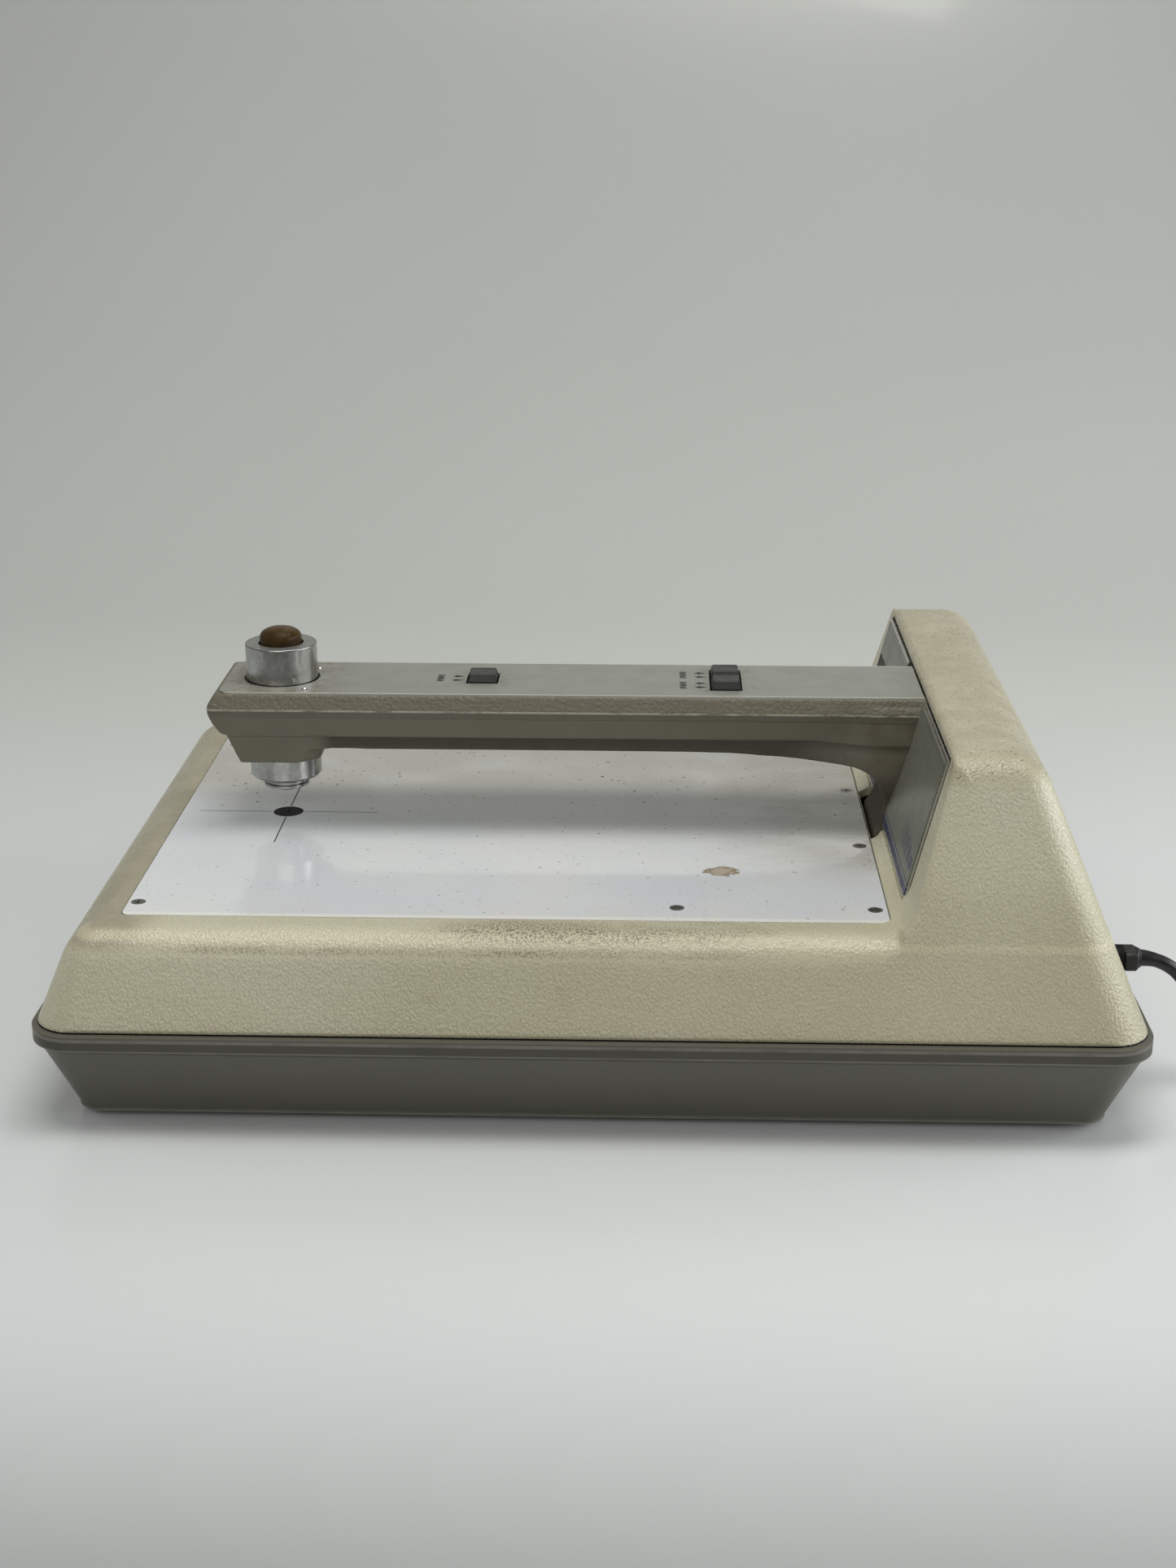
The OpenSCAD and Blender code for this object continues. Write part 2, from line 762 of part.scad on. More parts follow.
module key_board() color(BOARD) at_aperture()
    block([72, -16, board_under], [200, 16, board_under + board_t]);

// Calls its children at the three keys, in the order front, near, far
module at_key(i) {
    at_aperture() translate([key_xs[min(i, 1)], [0, -key_pitch / 2, key_pitch / 2][i], 0]) children();
}

module key_switches() color(BLACK) for (i = [0 : 2]) at_key(i) difference() {
    block([-4.5, -4.5, board_under + board_t], [4.5, 4.5, 53]);
    rod(1.75, 48, 54);
}

module key(i) {
    shoulder = cast_top - 1.6;
    at_key(i) {
        rod(1.65, 50.5, shoulder + 1);
        translate([0, 0, shoulder + 0.5]) cube([key_l + 1.2, key_w + 0.6, 1], center = true);
        block([-key_l / 2, -key_w / 2, shoulder], [key_l / 2, key_w / 2, arm_top + 0.4]);
        hull() {
            translate([0, 0, arm_top + 0.4]) cube([key_l, key_w, SKIN], center = true);
            translate([0, 0, arm_top + key_h - SKIN]) cube([key_l - 1.4, key_w - 5, SKIN], center = true);
        }
    }
}

module key_front() color(KEYGREY) key(0);
module key_near() color(KEYGREY) key(1);
module key_far() color(KEYGREY) key(2);

// Flat ribbon from the key board along the arm, down the neck, and onto the main board's connector
module arm_ribbon() color(STEEL) at_aperture() rotate([90, 0, 0]) linear_extrude(16, center = true) {
    low = board_z + board_t + connector_h - table_z;
    polygon([[200, 46.2], [271.5, 46.2], [271.5, low], [231, low], [231, low + 1], [270.5, low + 1],
        [270.5, 45.2], [200, 45.2]]);
}

// Optics

module optics_tube() color(METAL) at_aperture() difference() {
    union() {
        rod(tube_r, tube_bottom + 1, tube_top - 0.5);
        translate([0, 0, tube_bottom]) cylinder(r1 = tube_r - 1, r2 = tube_r, h = 1);
        translate([0, 0, tube_top - 0.5]) cylinder(r1 = tube_r, r2 = tube_r - 0.5, h = 0.5);
    }
    rod(tube_bore_r, tube_bottom - 1, tube_top - tube_cap_t);
    rod(button_hole_r, tube_bottom, tube_top + 1);
}

module retaining_ring() color(STEEL) at_aperture() tube(ring_r, tube_r + 0.02, ring_z0, ring_z1);

// Screws into the tube's lower end; its groove, ring and cone show below the tube
module nose_collar() color(METAL) at_aperture() difference() {
    union() {
        rod(tube_bore_r - 0.02, tube_bottom, 24);
        rod(9.2, 16, tube_bottom + 1);
        rod(10.2, 13.9, 16.5);
        translate([0, 0, 13.5]) cylinder(r1 = 9.6, r2 = 10.2, h = 0.4);
        translate([0, 0, nose_gap + 1]) cylinder(r1 = 7, r2 = 9.6, h = 1);
    }
    rod(4.4, nose_gap, 25);
    rod(6, 20, 25);
}

module nose_tip() color(BLACK) at_aperture() difference() {
    union() {
        rod(4.38, nose_gap + 0.5, 19.5);
        rod(5.3, nose_gap, nose_gap + 1);
    }
    rod(1.6, nose_gap - 1, 20);
}

module detector_filter() color(GLASS) at_aperture() rod(5.95, 20, 22);

module detector() color(METAL) at_aperture() {
    rod(5.9, 22, 23);
    rod(4.5, 22, 27);
}

module detector_board() color(BOARD) at_aperture() rod(tube_bore_r - 0.3, 27, 28.6);

module read_switch() color(BLACK) at_aperture() {
    rod(tube_bore_r - 0.1, 56, 57.6);
    difference() {
        block([-6, -6, 57], [6, 6, 65]);
        rod(1.8, 59, 66);
    }
}

// Point on a helix of round wire: t counts turns, and a goes round the wire
function coil_point(t, a, z0, pitch) = [(coil_r + wire_r * cos(a)) * cos(360 * t),
    (coil_r + wire_r * cos(a)) * sin(360 * t), z0 + pitch * t + wire_r * sin(a)];

module tube_spring() color(STEEL) at_aperture() {
    per_turn = 24;
    sides = 8;
    steps = per_turn * coil_turns;
    z0 = bush_z1 + wire_r + 0.05;
    pitch = (ring_z0 - wire_r - 0.05 - z0) / coil_turns;
    points = [for (i = [0 : steps], j = [0 : sides - 1])
        coil_point(i / per_turn, -360 * j / sides, z0, pitch)];
    sleeve = [for (i = [0 : steps - 1], j = [0 : sides - 1])
        [i * sides + j, i * sides + (j + 1) % sides, (i + 1) * sides + (j + 1) % sides,
            (i + 1) * sides + j]];
    ends = [[for (j = [sides - 1 : -1 : 0]) j], [for (j = [0 : sides - 1]) steps * sides + j]];
    polyhedron(points = points, faces = concat(sleeve, ends), convexity = 8);
}

// The domed button, held under the tube's cap by its flange, with the stem that works the switch
module read_button() color(AMBER) at_aperture() {
    cap_z = tube_top - tube_cap_t;
    dome_z = 78.7;
    dome_h = 3.5;
    dome_r = (button_r * button_r + dome_h * dome_h) / (2 * dome_h);
    rod(11.8, cap_z - 1.8, cap_z - 0.1);
    rod(button_r, cap_z - 1, dome_z);
    intersection() {
        translate([0, 0, dome_z + dome_h - dome_r]) sphere(dome_r);
        rod(button_r, dome_z - 0.5, dome_z + dome_h);
    }
    rod(1.7, 61.5, cap_z - 1);
}

// Power

module power_jack() color(BLACK) translate([0, jack_y, jack_z]) rotate([0, 90, 0])
    difference() {
        rod(jack_r, 188, plug_x0 - 0.2);
        rod(3.3, 191, plug_x0);
    }

module power_plug() color(BLACK) translate([0, jack_y, jack_z]) rotate([0, 90, 0]) {
    rod(3.2, 193, plug_x0 + 1);
    translate([0, 0, plug_x0]) linear_extrude(plug_x1 - plug_x0) rounded(10.3, 12, 2);
}

// The lead's path is two bends of lead_angle with a straight run between them. A stop on the path
// is [x, z, slope], where slope is the angle below level.
lead_bend2 = 24;
lead_fall = (lead_bend + lead_bend2) * (1 - cos(lead_angle));
lead_run = (jack_z - lead_end_z - lead_fall) / sin(lead_angle);
lead_x2 = plug_x1 + (lead_bend + lead_bend2) * sin(lead_angle) + lead_run * cos(lead_angle);
lead_end_x = lead_x2 + 6;

function lead_stops(step) = concat(
    [for (a = [0 : step : lead_angle])
        [plug_x1 + lead_bend * sin(a), jack_z - lead_bend * (1 - cos(a)), a]],
    [for (a = [lead_angle : -step : 0])
        [lead_x2 - lead_bend2 * sin(a), lead_end_z + lead_bend2 * (1 - cos(a)), a]],
    [[lead_end_x, lead_end_z, 0]]);

module power_lead() color(BLACK) translate([0, jack_y, 0]) {
    sides = 20;
    stops = lead_stops(5);
    last = len(stops) - 1;
    points = [for (p = stops, j = [0 : sides - 1]) let(a = 360 * j / sides)
        [p[0] + lead_r * cos(a) * sin(p[2]), lead_r * sin(a), p[1] + lead_r * cos(a) * cos(p[2])]];
    sleeve = [for (i = [0 : last - 1], j = [0 : sides - 1])
        [i * sides + j, i * sides + (j + 1) % sides, (i + 1) * sides + (j + 1) % sides,
            (i + 1) * sides + j]];
    ends = [[for (j = [sides - 1 : -1 : 0]) j], [for (j = [0 : sides - 1]) last * sides + j]];
    polyhedron(points = points, faces = concat(sleeve, ends), convexity = 4);
}

module lead_connector() color(BLACK) translate([lead_end_x, jack_y, lead_end_z]) rotate([0, 90, 0]) {
    cylinder(r = connector_r, h = connector_l);
    cylinder(r = 2, h = connector_l + 9);
}

base_tray();
rubber_feet();
case_screws();
case_gasket();
top_shell();
light_table();
table_screws();
crosshair_inlay();
aperture_disc();
light_box();
backlight_lamps();
lamp_sockets();
lamp_house();
lamp_holder();
read_lamp();
lens_barrel();
condenser_lens();
panel_near();
panel_far();
overlay_near();
overlay_far();
display_window();
display_module();
display_digits();
main_board();
board_components();
board_standoffs();
board_screws();
lamp_ballast();
arm_pedestal();
pedestal_screws();
arm_bolts();
arm_casting();
arm_label();
label_screws();
guide_bushing();
key_board();
key_switches();
arm_ribbon();
optics_tube();
retaining_ring();
nose_collar();
nose_tip();
detector_filter();
detector();
detector_board();
read_switch();
tube_spring();
read_button();
key_front();
key_near();
key_far();
power_jack();
power_plug();
power_lead();
lead_connector();
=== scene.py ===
"""Looks of a table-top transmission densitometer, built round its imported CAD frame."""

import itertools
import json
import math

import bmesh
import bpy
import numpy as np
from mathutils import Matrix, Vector


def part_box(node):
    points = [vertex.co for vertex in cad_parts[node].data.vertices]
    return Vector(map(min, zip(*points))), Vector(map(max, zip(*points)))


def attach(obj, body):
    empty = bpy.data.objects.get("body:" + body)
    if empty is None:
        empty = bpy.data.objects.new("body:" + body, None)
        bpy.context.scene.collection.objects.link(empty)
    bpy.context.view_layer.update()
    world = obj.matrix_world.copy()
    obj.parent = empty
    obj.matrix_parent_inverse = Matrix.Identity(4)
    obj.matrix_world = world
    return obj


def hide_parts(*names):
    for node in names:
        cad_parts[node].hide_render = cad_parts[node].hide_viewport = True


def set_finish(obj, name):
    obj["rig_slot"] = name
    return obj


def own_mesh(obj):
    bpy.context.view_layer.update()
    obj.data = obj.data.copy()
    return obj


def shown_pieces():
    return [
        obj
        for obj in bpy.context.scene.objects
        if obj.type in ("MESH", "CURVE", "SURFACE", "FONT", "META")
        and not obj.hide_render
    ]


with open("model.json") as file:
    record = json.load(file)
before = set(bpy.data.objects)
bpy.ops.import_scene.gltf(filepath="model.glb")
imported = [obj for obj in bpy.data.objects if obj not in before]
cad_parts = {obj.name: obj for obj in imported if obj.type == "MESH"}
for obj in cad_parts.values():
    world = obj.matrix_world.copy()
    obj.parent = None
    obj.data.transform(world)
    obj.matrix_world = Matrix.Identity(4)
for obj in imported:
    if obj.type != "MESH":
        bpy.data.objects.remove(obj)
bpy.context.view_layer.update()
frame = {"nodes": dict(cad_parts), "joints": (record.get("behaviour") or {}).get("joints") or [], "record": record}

# Sizes below are in millimetres unless a name says otherwise, in the frame's own axes.
MM = 0.001


def box_mm(node):
    """The lowest and highest corners of a CAD node, in millimetres."""
    low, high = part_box(node)
    return np.array(low) / MM, np.array(high) / MM


def middle(node):
    low, high = box_mm(node)
    return (low + high) / 2


shell_low, shell_high = box_mm("top_shell")
table_low, table_high = box_mm("light_table")
label_low, label_high = box_mm("arm_label")
PANEL_EDGE = box_mm("panel_far")[1][1]
KEYS = ("key_front", "key_near", "key_far")

AXIS_X = middle("aperture_disc")[0]
TABLE_Z = table_high[2]
SHELL_Z, TOWER_Z = shell_low[2], shell_high[2]
HALF_L, HALF_W = shell_high[:2]
END_DRAFT, SIDE_DRAFT = 0.42, 0.305
CORNER_R, CORNER_TAPER = 16, 6
EDGE_R, FRONT_R = 10, 2.8
FIT = 0.3
WALL = 3

# the tower's front: where it meets the table's level, and how it leans
FRONT_X = 118.25
FRONT_LEAN = 0.25
FACE = math.atan(FRONT_LEAN)


# ---- shape fields

def round_inside(a, b, r):
    """Where both solids are, with the edge between them rounded to r."""
    return np.minimum(np.maximum(a, b), -r) + np.hypot(np.maximum(a + r, 0), np.maximum(b + r, 0))


def round_outside(a, b, r):
    """Where either solid is, with a fillet of radius r between them."""
    return np.maximum(np.minimum(a, b), r) - np.hypot(np.maximum(r - a, 0), np.maximum(r - b, 0))


def ramp(value, low, high):
    """0 below low, 1 above high, and smooth between them."""
    t = np.clip((value - low) / (high - low), 0, 1)
    return t * t * (3 - 2 * t)


def rounded_rect(x, y, half_x, half_y, r):
    """Distance outside a rectangle with round corners, negative inside it."""
    qx = np.abs(x) - half_x + r
    qy = np.abs(y) - half_y + r
    return np.hypot(np.maximum(qx, 0), np.maximum(qy, 0)) + np.minimum(np.maximum(qx, qy), 0) - r


def outline_distance(u, v, corners):
    """Distance outside any closed outline, negative inside it."""
    nearest = np.inf
    inside = np.zeros(np.broadcast(u, v).shape, bool)
    for (u0, v0), (u1, v1) in zip(corners, corners[1:] + corners[:1]):
        du, dv = u1 - u0, v1 - v0
        t = np.clip(((u - u0) * du + (v - v0) * dv) / (du * du + dv * dv), 0, 1)
        nearest = np.minimum(nearest, np.hypot(u - u0 - t * du, v - v0 - t * dv))
        if dv:
            crosses = (v0 > v) != (v1 > v)
            inside ^= crosses & (u < u0 + (v - v0) * du / dv)
    return np.where(inside, -nearest, nearest)


def smooth_line(points, steps):
    """A smooth curve through points, with this many steps between each pair."""
    ends = [points[0]] + list(points) + [points[-1]]
    line = []
    for a, b, c, d in zip(ends, ends[1:], ends[2:], ends[3:]):
        for i in range(steps):
            t = i / steps
            line.append(tuple(
                0.5 * (2 * q + (r - p) * t + (2 * p - 5 * q + 4 * r - s) * t * t
                       + (3 * q - p - 3 * r + s) * t ** 3)
                for p, q, r, s in zip(a, b, c, d)))
    return line + [tuple(points[-1])]


def up_front(x, z):
    """How far up the tower's sloping front a place is. It takes numbers, arrays or Signals."""
    return (x - FRONT_X) * math.sin(FACE) + (z - TABLE_Z) * math.cos(FACE)


def behind_front(x, z):
    """How far behind the tower's sloping front a place is."""
    return (x - FRONT_X) * math.cos(FACE) - (z - TABLE_Z) * math.sin(FACE)


# ---- mesh tools

def added(name, data):
    """A new object in the scene."""
    obj = bpy.data.objects.new(name, data)
    bpy.context.scene.collection.objects.link(obj)
    return obj


def piece(name, points, faces, body="base", slot=None, replaces=None, smooth=True):
    """A mesh piece from points in millimetres."""
    mesh = bpy.data.meshes.new(name)
    places = np.asarray(points, float) * MM
    mesh.from_pydata(places.tolist(), [], [list(map(int, face)) for face in faces])
    mesh.validate()
    obj = added(name, mesh)
    if smooth:
        mesh.shade_smooth()
    if body:
        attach(obj, body)
    if slot:
        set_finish(obj, slot)
    if replaces:
        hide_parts(replaces)
    return obj


def bake(obj):
    """Applies every modifier of obj to its mesh."""
    graph = bpy.context.evaluated_depsgraph_get()
    mesh = bpy.data.meshes.new_from_object(obj.evaluated_get(graph))
    obj.modifiers.clear()
    obj.data = mesh


def cleaned(obj):
    """Merges points that coincide, drops empty faces, and points every face outwards."""
    gap = 0.01 * MM
    work = bmesh.new()
    work.from_mesh(obj.data)
    bmesh.ops.remove_doubles(work, verts=work.verts, dist=gap)
    bmesh.ops.dissolve_degenerate(work, edges=work.edges, dist=gap / 2)
    bmesh.ops.recalc_face_normals(work, faces=work.faces)
    work.to_mesh(obj.data)
    work.free()
    return obj


def cut(obj, tools):
    """Cuts the tools out of obj and deletes them."""
    for tool in tools:
        step = obj.modifiers.new(tool.name, "BOOLEAN")
        step.operation = "DIFFERENCE"
        step.solver = "MANIFOLD"
        step.object = tool
    bake(obj)
    for tool in tools:
        bpy.data.objects.remove(tool)


def even_normals(obj):
    """Weights each point's normal by the area of the faces round it."""
    if not obj.data.polygons[0].use_smooth:
        obj.data.shade_smooth()
    weigh = obj.modifiers.new("normals", "WEIGHTED_NORMAL")
    weigh.keep_sharp = True
    return obj


def soften(obj, width):
    """Rounds sharp edges a little and keeps flat faces flat in the shading."""
    bevel = obj.modifiers.new("edges", "BEVEL")
    bevel.width = width * MM
    bevel.segments = 2
    bevel.limit_method = "ANGLE"
    bevel.angle_limit = math.radians(35)
    even_normals(obj)


def skin(rings, closed=True):
    """Points and faces of a skin over rings of points. A ring of one point is a tip."""
    points = [point for ring in rings for point in ring]
    faces, first = [], 0
    for low, high in zip(rings, rings[1:]):
        second = first + len(low)
        n = max(len(low), len(high))
        for i in range(n):
            k = (i + 1) % n
            corners = (first + i % len(low), first + k % len(low),
                       second + k % len(high), second + i % len(high))
            faces.append(list(dict.fromkeys(corners)))
        first = second
    if closed:
        faces += [list(range(len(rings[0])))[::-1], list(range(first, len(points)))]
    return points, faces


def prism(name, outline, to_space, low, high):
    """A closed prism: outline is 2D, and to_space turns (u, v, depth) into x, y, z."""
    rings = [[to_space(u, v, depth) for u, v in outline] for depth in (low, high)]
    return cleaned(piece(name, *skin(rings), body=None, smooth=False))


def rounded_piece(name, rings, closed=True, **keys):
    return even_normals(cleaned(piece(name, *skin(rings, closed), **keys)))


def lathe(name, profile, to_space, steps=96, **keys):
    """Turns a profile of (radius, height) points into a round piece."""
    rings = []
    for radius, height in profile:
        ring = [(0.0, 0.0)] if radius < 1e-6 else circle_points(radius, steps)
        rings.append([to_space(u, v, height) for u, v in ring])
    return rounded_piece(name, rings, closed=False, **keys)


def stacked(name, levels, to_space, **keys):
    """Joins round-cornered rectangles (half x, half y, corner radius, height) into a closed piece."""
    rings = []
    for half_x, half_y, r, height in levels:
        rings.append([to_space(u, v, height) for u, v in rounded_points(half_x, half_y, r, 6)])
    return rounded_piece(name, rings, **keys)


def swept(name, path, radii, sides=24, **keys):
    """A round bar along a path, closed at both ends."""
    path = [Vector(p) for p in path]
    rings = []
    for i, here in enumerate(path):
        along = (path[min(i + 1, len(path) - 1)] - path[max(i - 1, 0)]).normalized()
        side = along.cross(Vector((0, 0, 1)))
        side = side.normalized() if side.length > 1e-6 else Vector((0, 1, 0))
        up = side.cross(along)
        rings.append([tuple(here + side * u + up * v) for u, v in circle_points(radii[i], sides)])
    return rounded_piece(name, rings, **keys)


def upright(u, v, depth):
    return (u, v, depth)


def at_arm(u, v, depth):
    """A place about the aperture axis, with its height above the light table."""
    return (AXIS_X + u, v, TABLE_Z + depth)


def into_front(across, up, depth):
    """A place across and up the tower's sloping front, and this deep behind it."""
    return (FRONT_X + depth * math.cos(FACE) + up * math.sin(FACE), across,
            TABLE_Z - depth * math.sin(FACE) + up * math.cos(FACE))


def circle_points(radius, steps, cx=0.0, cy=0.0):
    return [(cx + radius * math.cos(2 * math.pi * i / steps),
             cy + radius * math.sin(2 * math.pi * i / steps)) for i in range(steps)]


def rect_points(x0, y0, x1, y1):
    return [(x0, y0), (x1, y0), (x1, y1), (x0, y1)]


def rounded_points(half_x, half_y, r, steps, cx=0.0, cy=0.0):
    """A rectangle with round corners, anticlockwise."""
    points = []
    for i, (sx, sy) in enumerate(((1, 1), (-1, 1), (-1, -1), (1, -1))):
        for k in range(steps + 1):
            a = math.radians(90 * i + 90 * k / steps)
            points.append((cx + sx * (half_x - r) + r * math.cos(a),
                           cy + sy * (half_y - r) + r * math.sin(a)))
    return points


def eased(profile, usual=0.3, steps=4):
    """A profile with each corner turned into a small arc. A point may carry its own radius."""
    line = [tuple(profile[0][:2])]
    for before, here, after in zip(profile, profile[1:], profile[2:]):
        radius = here[2] if len(here) > 2 else usual
        here = Vector(here[:2])
        before = Vector(before[:2]) - here
        after = Vector(after[:2]) - here
        wanted = radius * math.tan(before.angle(-after) / 2)
        reach = min(wanted, before.length * 0.45, after.length * 0.45)
        start = here + before.normalized() * reach
        end = here + after.normalized() * reach
        for t in (k / steps for k in range(steps + 1)):
            line.append(tuple(start * (1 - t) ** 2 + here * 2 * t * (1 - t) + end * t * t))
    return line + [tuple(profile[-1][:2])]


def net(field, *lines):
    """Points and faces of the surface where field is zero, one point in each cell it crosses."""
    values = field(*np.meshgrid(*lines, indexing="ij", sparse=True))
    inside = values < 0
    shape = tuple(n - 1 for n in values.shape)
    total, count = np.zeros(shape + (3,)), np.zeros(shape)

    def part(array, offset):
        return array[tuple(slice(i, i + n) for i, n in zip(offset, shape))]

    for a, axis in itertools.product(itertools.product((0, 1), repeat=3), range(3)):
        if a[axis]:
            continue
        b = tuple(1 if n == axis else c for n, c in enumerate(a))
        va, vb = part(values, a), part(values, b)
        cross = part(inside, a) != part(inside, b)
        t = np.where(cross, va / np.where(cross, va - vb, 1), 0)
        for n in range(3):
            total[..., n] += cross * (a[n] + (t if n == axis else 0))
        count += cross
    active = count > 0
    index = np.full(shape, -1)
    index[active] = np.arange(active.sum())
    start, spacing = (np.array(v) for v in zip(*((line[0], line[1] - line[0]) for line in lines)))
    points = start + (np.argwhere(active) + total[active] / count[active][:, None]) * spacing
    faces = []
    for axis in range(3):
        window = [slice(1, -1)] * 3
        window[axis] = slice(None)
        change = np.diff(inside.astype(int), axis=axis)[tuple(window)]
        for sign in (-1, 1):
            quad = []
            for step_b, step_c in ((0, 0), (1, 0), (1, 1), (0, 1)):
                cell = np.argwhere(change == sign)
                cell[:, (axis + 1) % 3] += step_b
                cell[:, (axis + 2) % 3] += step_c
                quad.append(index[tuple(cell.T)])
            faces.append(np.stack(quad[::-sign], 1))
    return points, np.concatenate(faces)


def settled(field, points, rounds=4, h=0.02):
    """Moves points onto the surface where field is zero."""
    for _ in range(rounds):
        slope = np.stack([(field(*(points + step).T) - field(*(points - step).T)) / (2 * h)
                          for step in h * np.eye(3)], 1)
        size = np.maximum((slope ** 2).sum(1), 0.2)
        points = points - np.clip(field(*points.T) / size, -1, 1)[:, None] * slope
    return points


# ---- case shell

SLOPE_X = table_high[0] + 0.4
SLOPE_RUN, SLOPE_RISE = 6.05, 4.2
RECESS_S = (3.83, 62.33)
RECESS_DEPTH = 2.3
RECESS_HALF = PANEL_EDGE + 0.7
PLATE_MID = (table_low[0] + table_high[0]) / 2
PLATE_HALF = ((table_high[0] - table_low[0]) / 2 + FIT, table_high[1] + FIT)
PLATE_R = 3.5
RECESS_EDGE = 0.5
SLOPE_FILLET, TOWER_FILLET = 4, 5
WALL_SCALE = 0.94  # keeps case_wall near a true distance on the leaning walls
RIM_SPAN = 0.7  # the width beside a recess where the grid is at its closest


def case_roof(x, z):
    """The case seen from the side: ring, slope and tower, with the crease between them filleted."""
    ring = z - TABLE_Z
    slope = (ring * SLOPE_RUN - (x - SLOPE_X) * SLOPE_RISE) / math.hypot(SLOPE_RUN, SLOPE_RISE)
    front = (FRONT_X + FRONT_LEAN * ring - x) * math.cos(FACE)
    tower = round_inside(front, z - TOWER_Z, FRONT_R)
    return round_outside(round_outside(ring, slope, SLOPE_FILLET), tower, TOWER_FILLET)


def case_wall(x, y, z):
    """The case seen from above, whose walls lean in and whose corners tighten upwards."""
    up = z - SHELL_Z
    top = np.where(x < 0, TABLE_Z - EDGE_R, TOWER_Z - EDGE_R)
    corner = CORNER_R - CORNER_TAPER * np.clip(up / (top - SHELL_Z), 0, 1)
    half_x, half_y = HALF_L - END_DRAFT * up, HALF_W - SIDE_DRAFT * up
    return WALL_SCALE * rounded_rect(x, y, half_x, half_y, corner)


def eased_rim(gap):
    """How far a surface drops beside a recess whose edge is this far away."""
    reach = np.clip(RECESS_EDGE - gap, 0, RECESS_EDGE)
    return RECESS_EDGE - np.sqrt(RECESS_EDGE * RECESS_EDGE - reach * reach)


def case_field(x, y, z):
    roof = case_roof(x, z)
    lean = np.abs(case_roof(x + 0.1, z) - case_roof(x - 0.1, z)) / 0.2
    edge = EDGE_R + (FRONT_R - EDGE_R) * ramp(lean, 0.55, 0.95)
    shell = round_inside(roof, case_wall(x, y, z), edge)
    to_plate = rounded_rect(x - PLATE_MID, y, *PLATE_HALF, PLATE_R)
    low, high = RECESS_S
    panel_v = up_front(x, z) - (low + high) / 2
    to_panel = rounded_rect(y, panel_v, RECESS_HALF, (high - low) / 2, 0.5)
    shell = shell + eased_rim(to_plate) * (x < SLOPE_X)
    return shell + eased_rim(to_panel) * (x > FRONT_X - 1)


def graded(*spans):
    """Grid lines from spans of (start, end, step), each span ending exactly on its end."""
    lines = []
    for start, end, step in spans:
        count = max(1, round(abs(end - start) / step))
        lines += list(np.linspace(start, end, count, endpoint=False))
    return np.array(lines + [spans[-1][1]])


def beside(at, outward):
    """A span that crowds grid lines beside a recess edge."""
    far = at + outward * RIM_SPAN
    return (min(at, far), max(at, far), RIM_SPAN / 4)


def shell_grid():
    """Grid lines over the case, closer together where its surface curves."""
    x0, x1 = PLATE_MID - PLATE_HALF[0], PLATE_MID + PLATE_HALF[0]
    xs = graded((-HALF_L, -190, 0.75), (-190, x0 - RIM_SPAN, 0.9), beside(x0, -1),
                (x0, x0 + 4, 0.5), (x0 + 4, x1 - 4, 8), (x1 - 4, x1, 0.5), (x1, 122, 0.4),
                (122, 134, 0.45), (134, 141, 0.55), (141, 158, 1.5), (158, 172, 0.8),
                (172, HALF_L, 0.9))
    y1, y2 = RECESS_HALF, PLATE_HALF[1]
    ys = graded((0, 96, 6), (96, y1, 0.9), beside(y1, 1), (y1 + RIM_SPAN, y2 - 4, 0.6),
                (y2 - 4, y2, 0.5), beside(y2, 1), (y2 + RIM_SPAN, HALF_W, 0.6))
    return xs, np.concatenate([-ys[:0:-1], ys])


def neck_well_outline():
    """The well behind the ring that the arm's neck goes down, narrower inside the tower."""
    x0, x1, x2, x3 = SLOPE_X, SLOPE_X + 3.3, FRONT_X + 2.5, FRONT_X + 35
    wide, narrow = 30, 23.5
    side = smooth_line([(x0, wide), (x1, wide - 0.6), (x2, narrow), (x2 + 4, narrow)], 5)
    outline = [(x0, -wide)] + [(x, -y) for x, y in side[1:]]
    return outline + [(x3, -narrow), (x3, narrow)] + side[::-1]


def neck_slot_outline():
    """The slot in the tower's front round the arm, across and up the slope."""
    half = [(19.4, -2), (19.4, 10.5), (25.2, 22.5), (30.5, 41), (30.5, RECESS_S[1] - 0.2)]
    return half + [(-u, v) for u, v in half[::-1]]


def case_surface():
    """Points and faces of the case's outer surface, as a height over each point of a grid."""
    xs, ys = shell_grid()
    x, y = (a.ravel() for a in np.meshgrid(xs, ys, indexing="ij"))
    outside = case_wall(x, y, SHELL_Z) > 0
    low = np.full(x.shape, SHELL_Z)
    high = np.full(x.shape, TOWER_Z + 1.0)
    for _ in range(34):
        mid = (low + high) / 2
        inside = case_field(x, y, mid) < 0
        low, high = np.where(inside, mid, low), np.where(inside, high, mid)
    z = np.where(outside, SHELL_Z, (low + high) / 2)
    # points past a corner move in to its arc
    cx = np.sign(x) * np.minimum(np.abs(x), HALF_L - CORNER_R)
    cy = np.sign(y) * np.minimum(np.abs(y), HALF_W - CORNER_R)
    reach = np.maximum(np.hypot(x - cx, y - cy), 1e-9)
    x = np.where(outside, cx + (x - cx) * CORNER_R / reach, x)
    y = np.where(outside, cy + (y - cy) * CORNER_R / reach, y)
    grid = np.arange(len(xs) * len(ys)).reshape(len(xs), len(ys))
    quads = np.stack([grid[:-1, :-1], grid[1:, :-1], grid[1:, 1:], grid[:-1, 1:]], -1).reshape(-1, 4)
    return np.stack([x, y, z], 1), quads[~outside[quads].all(1)]


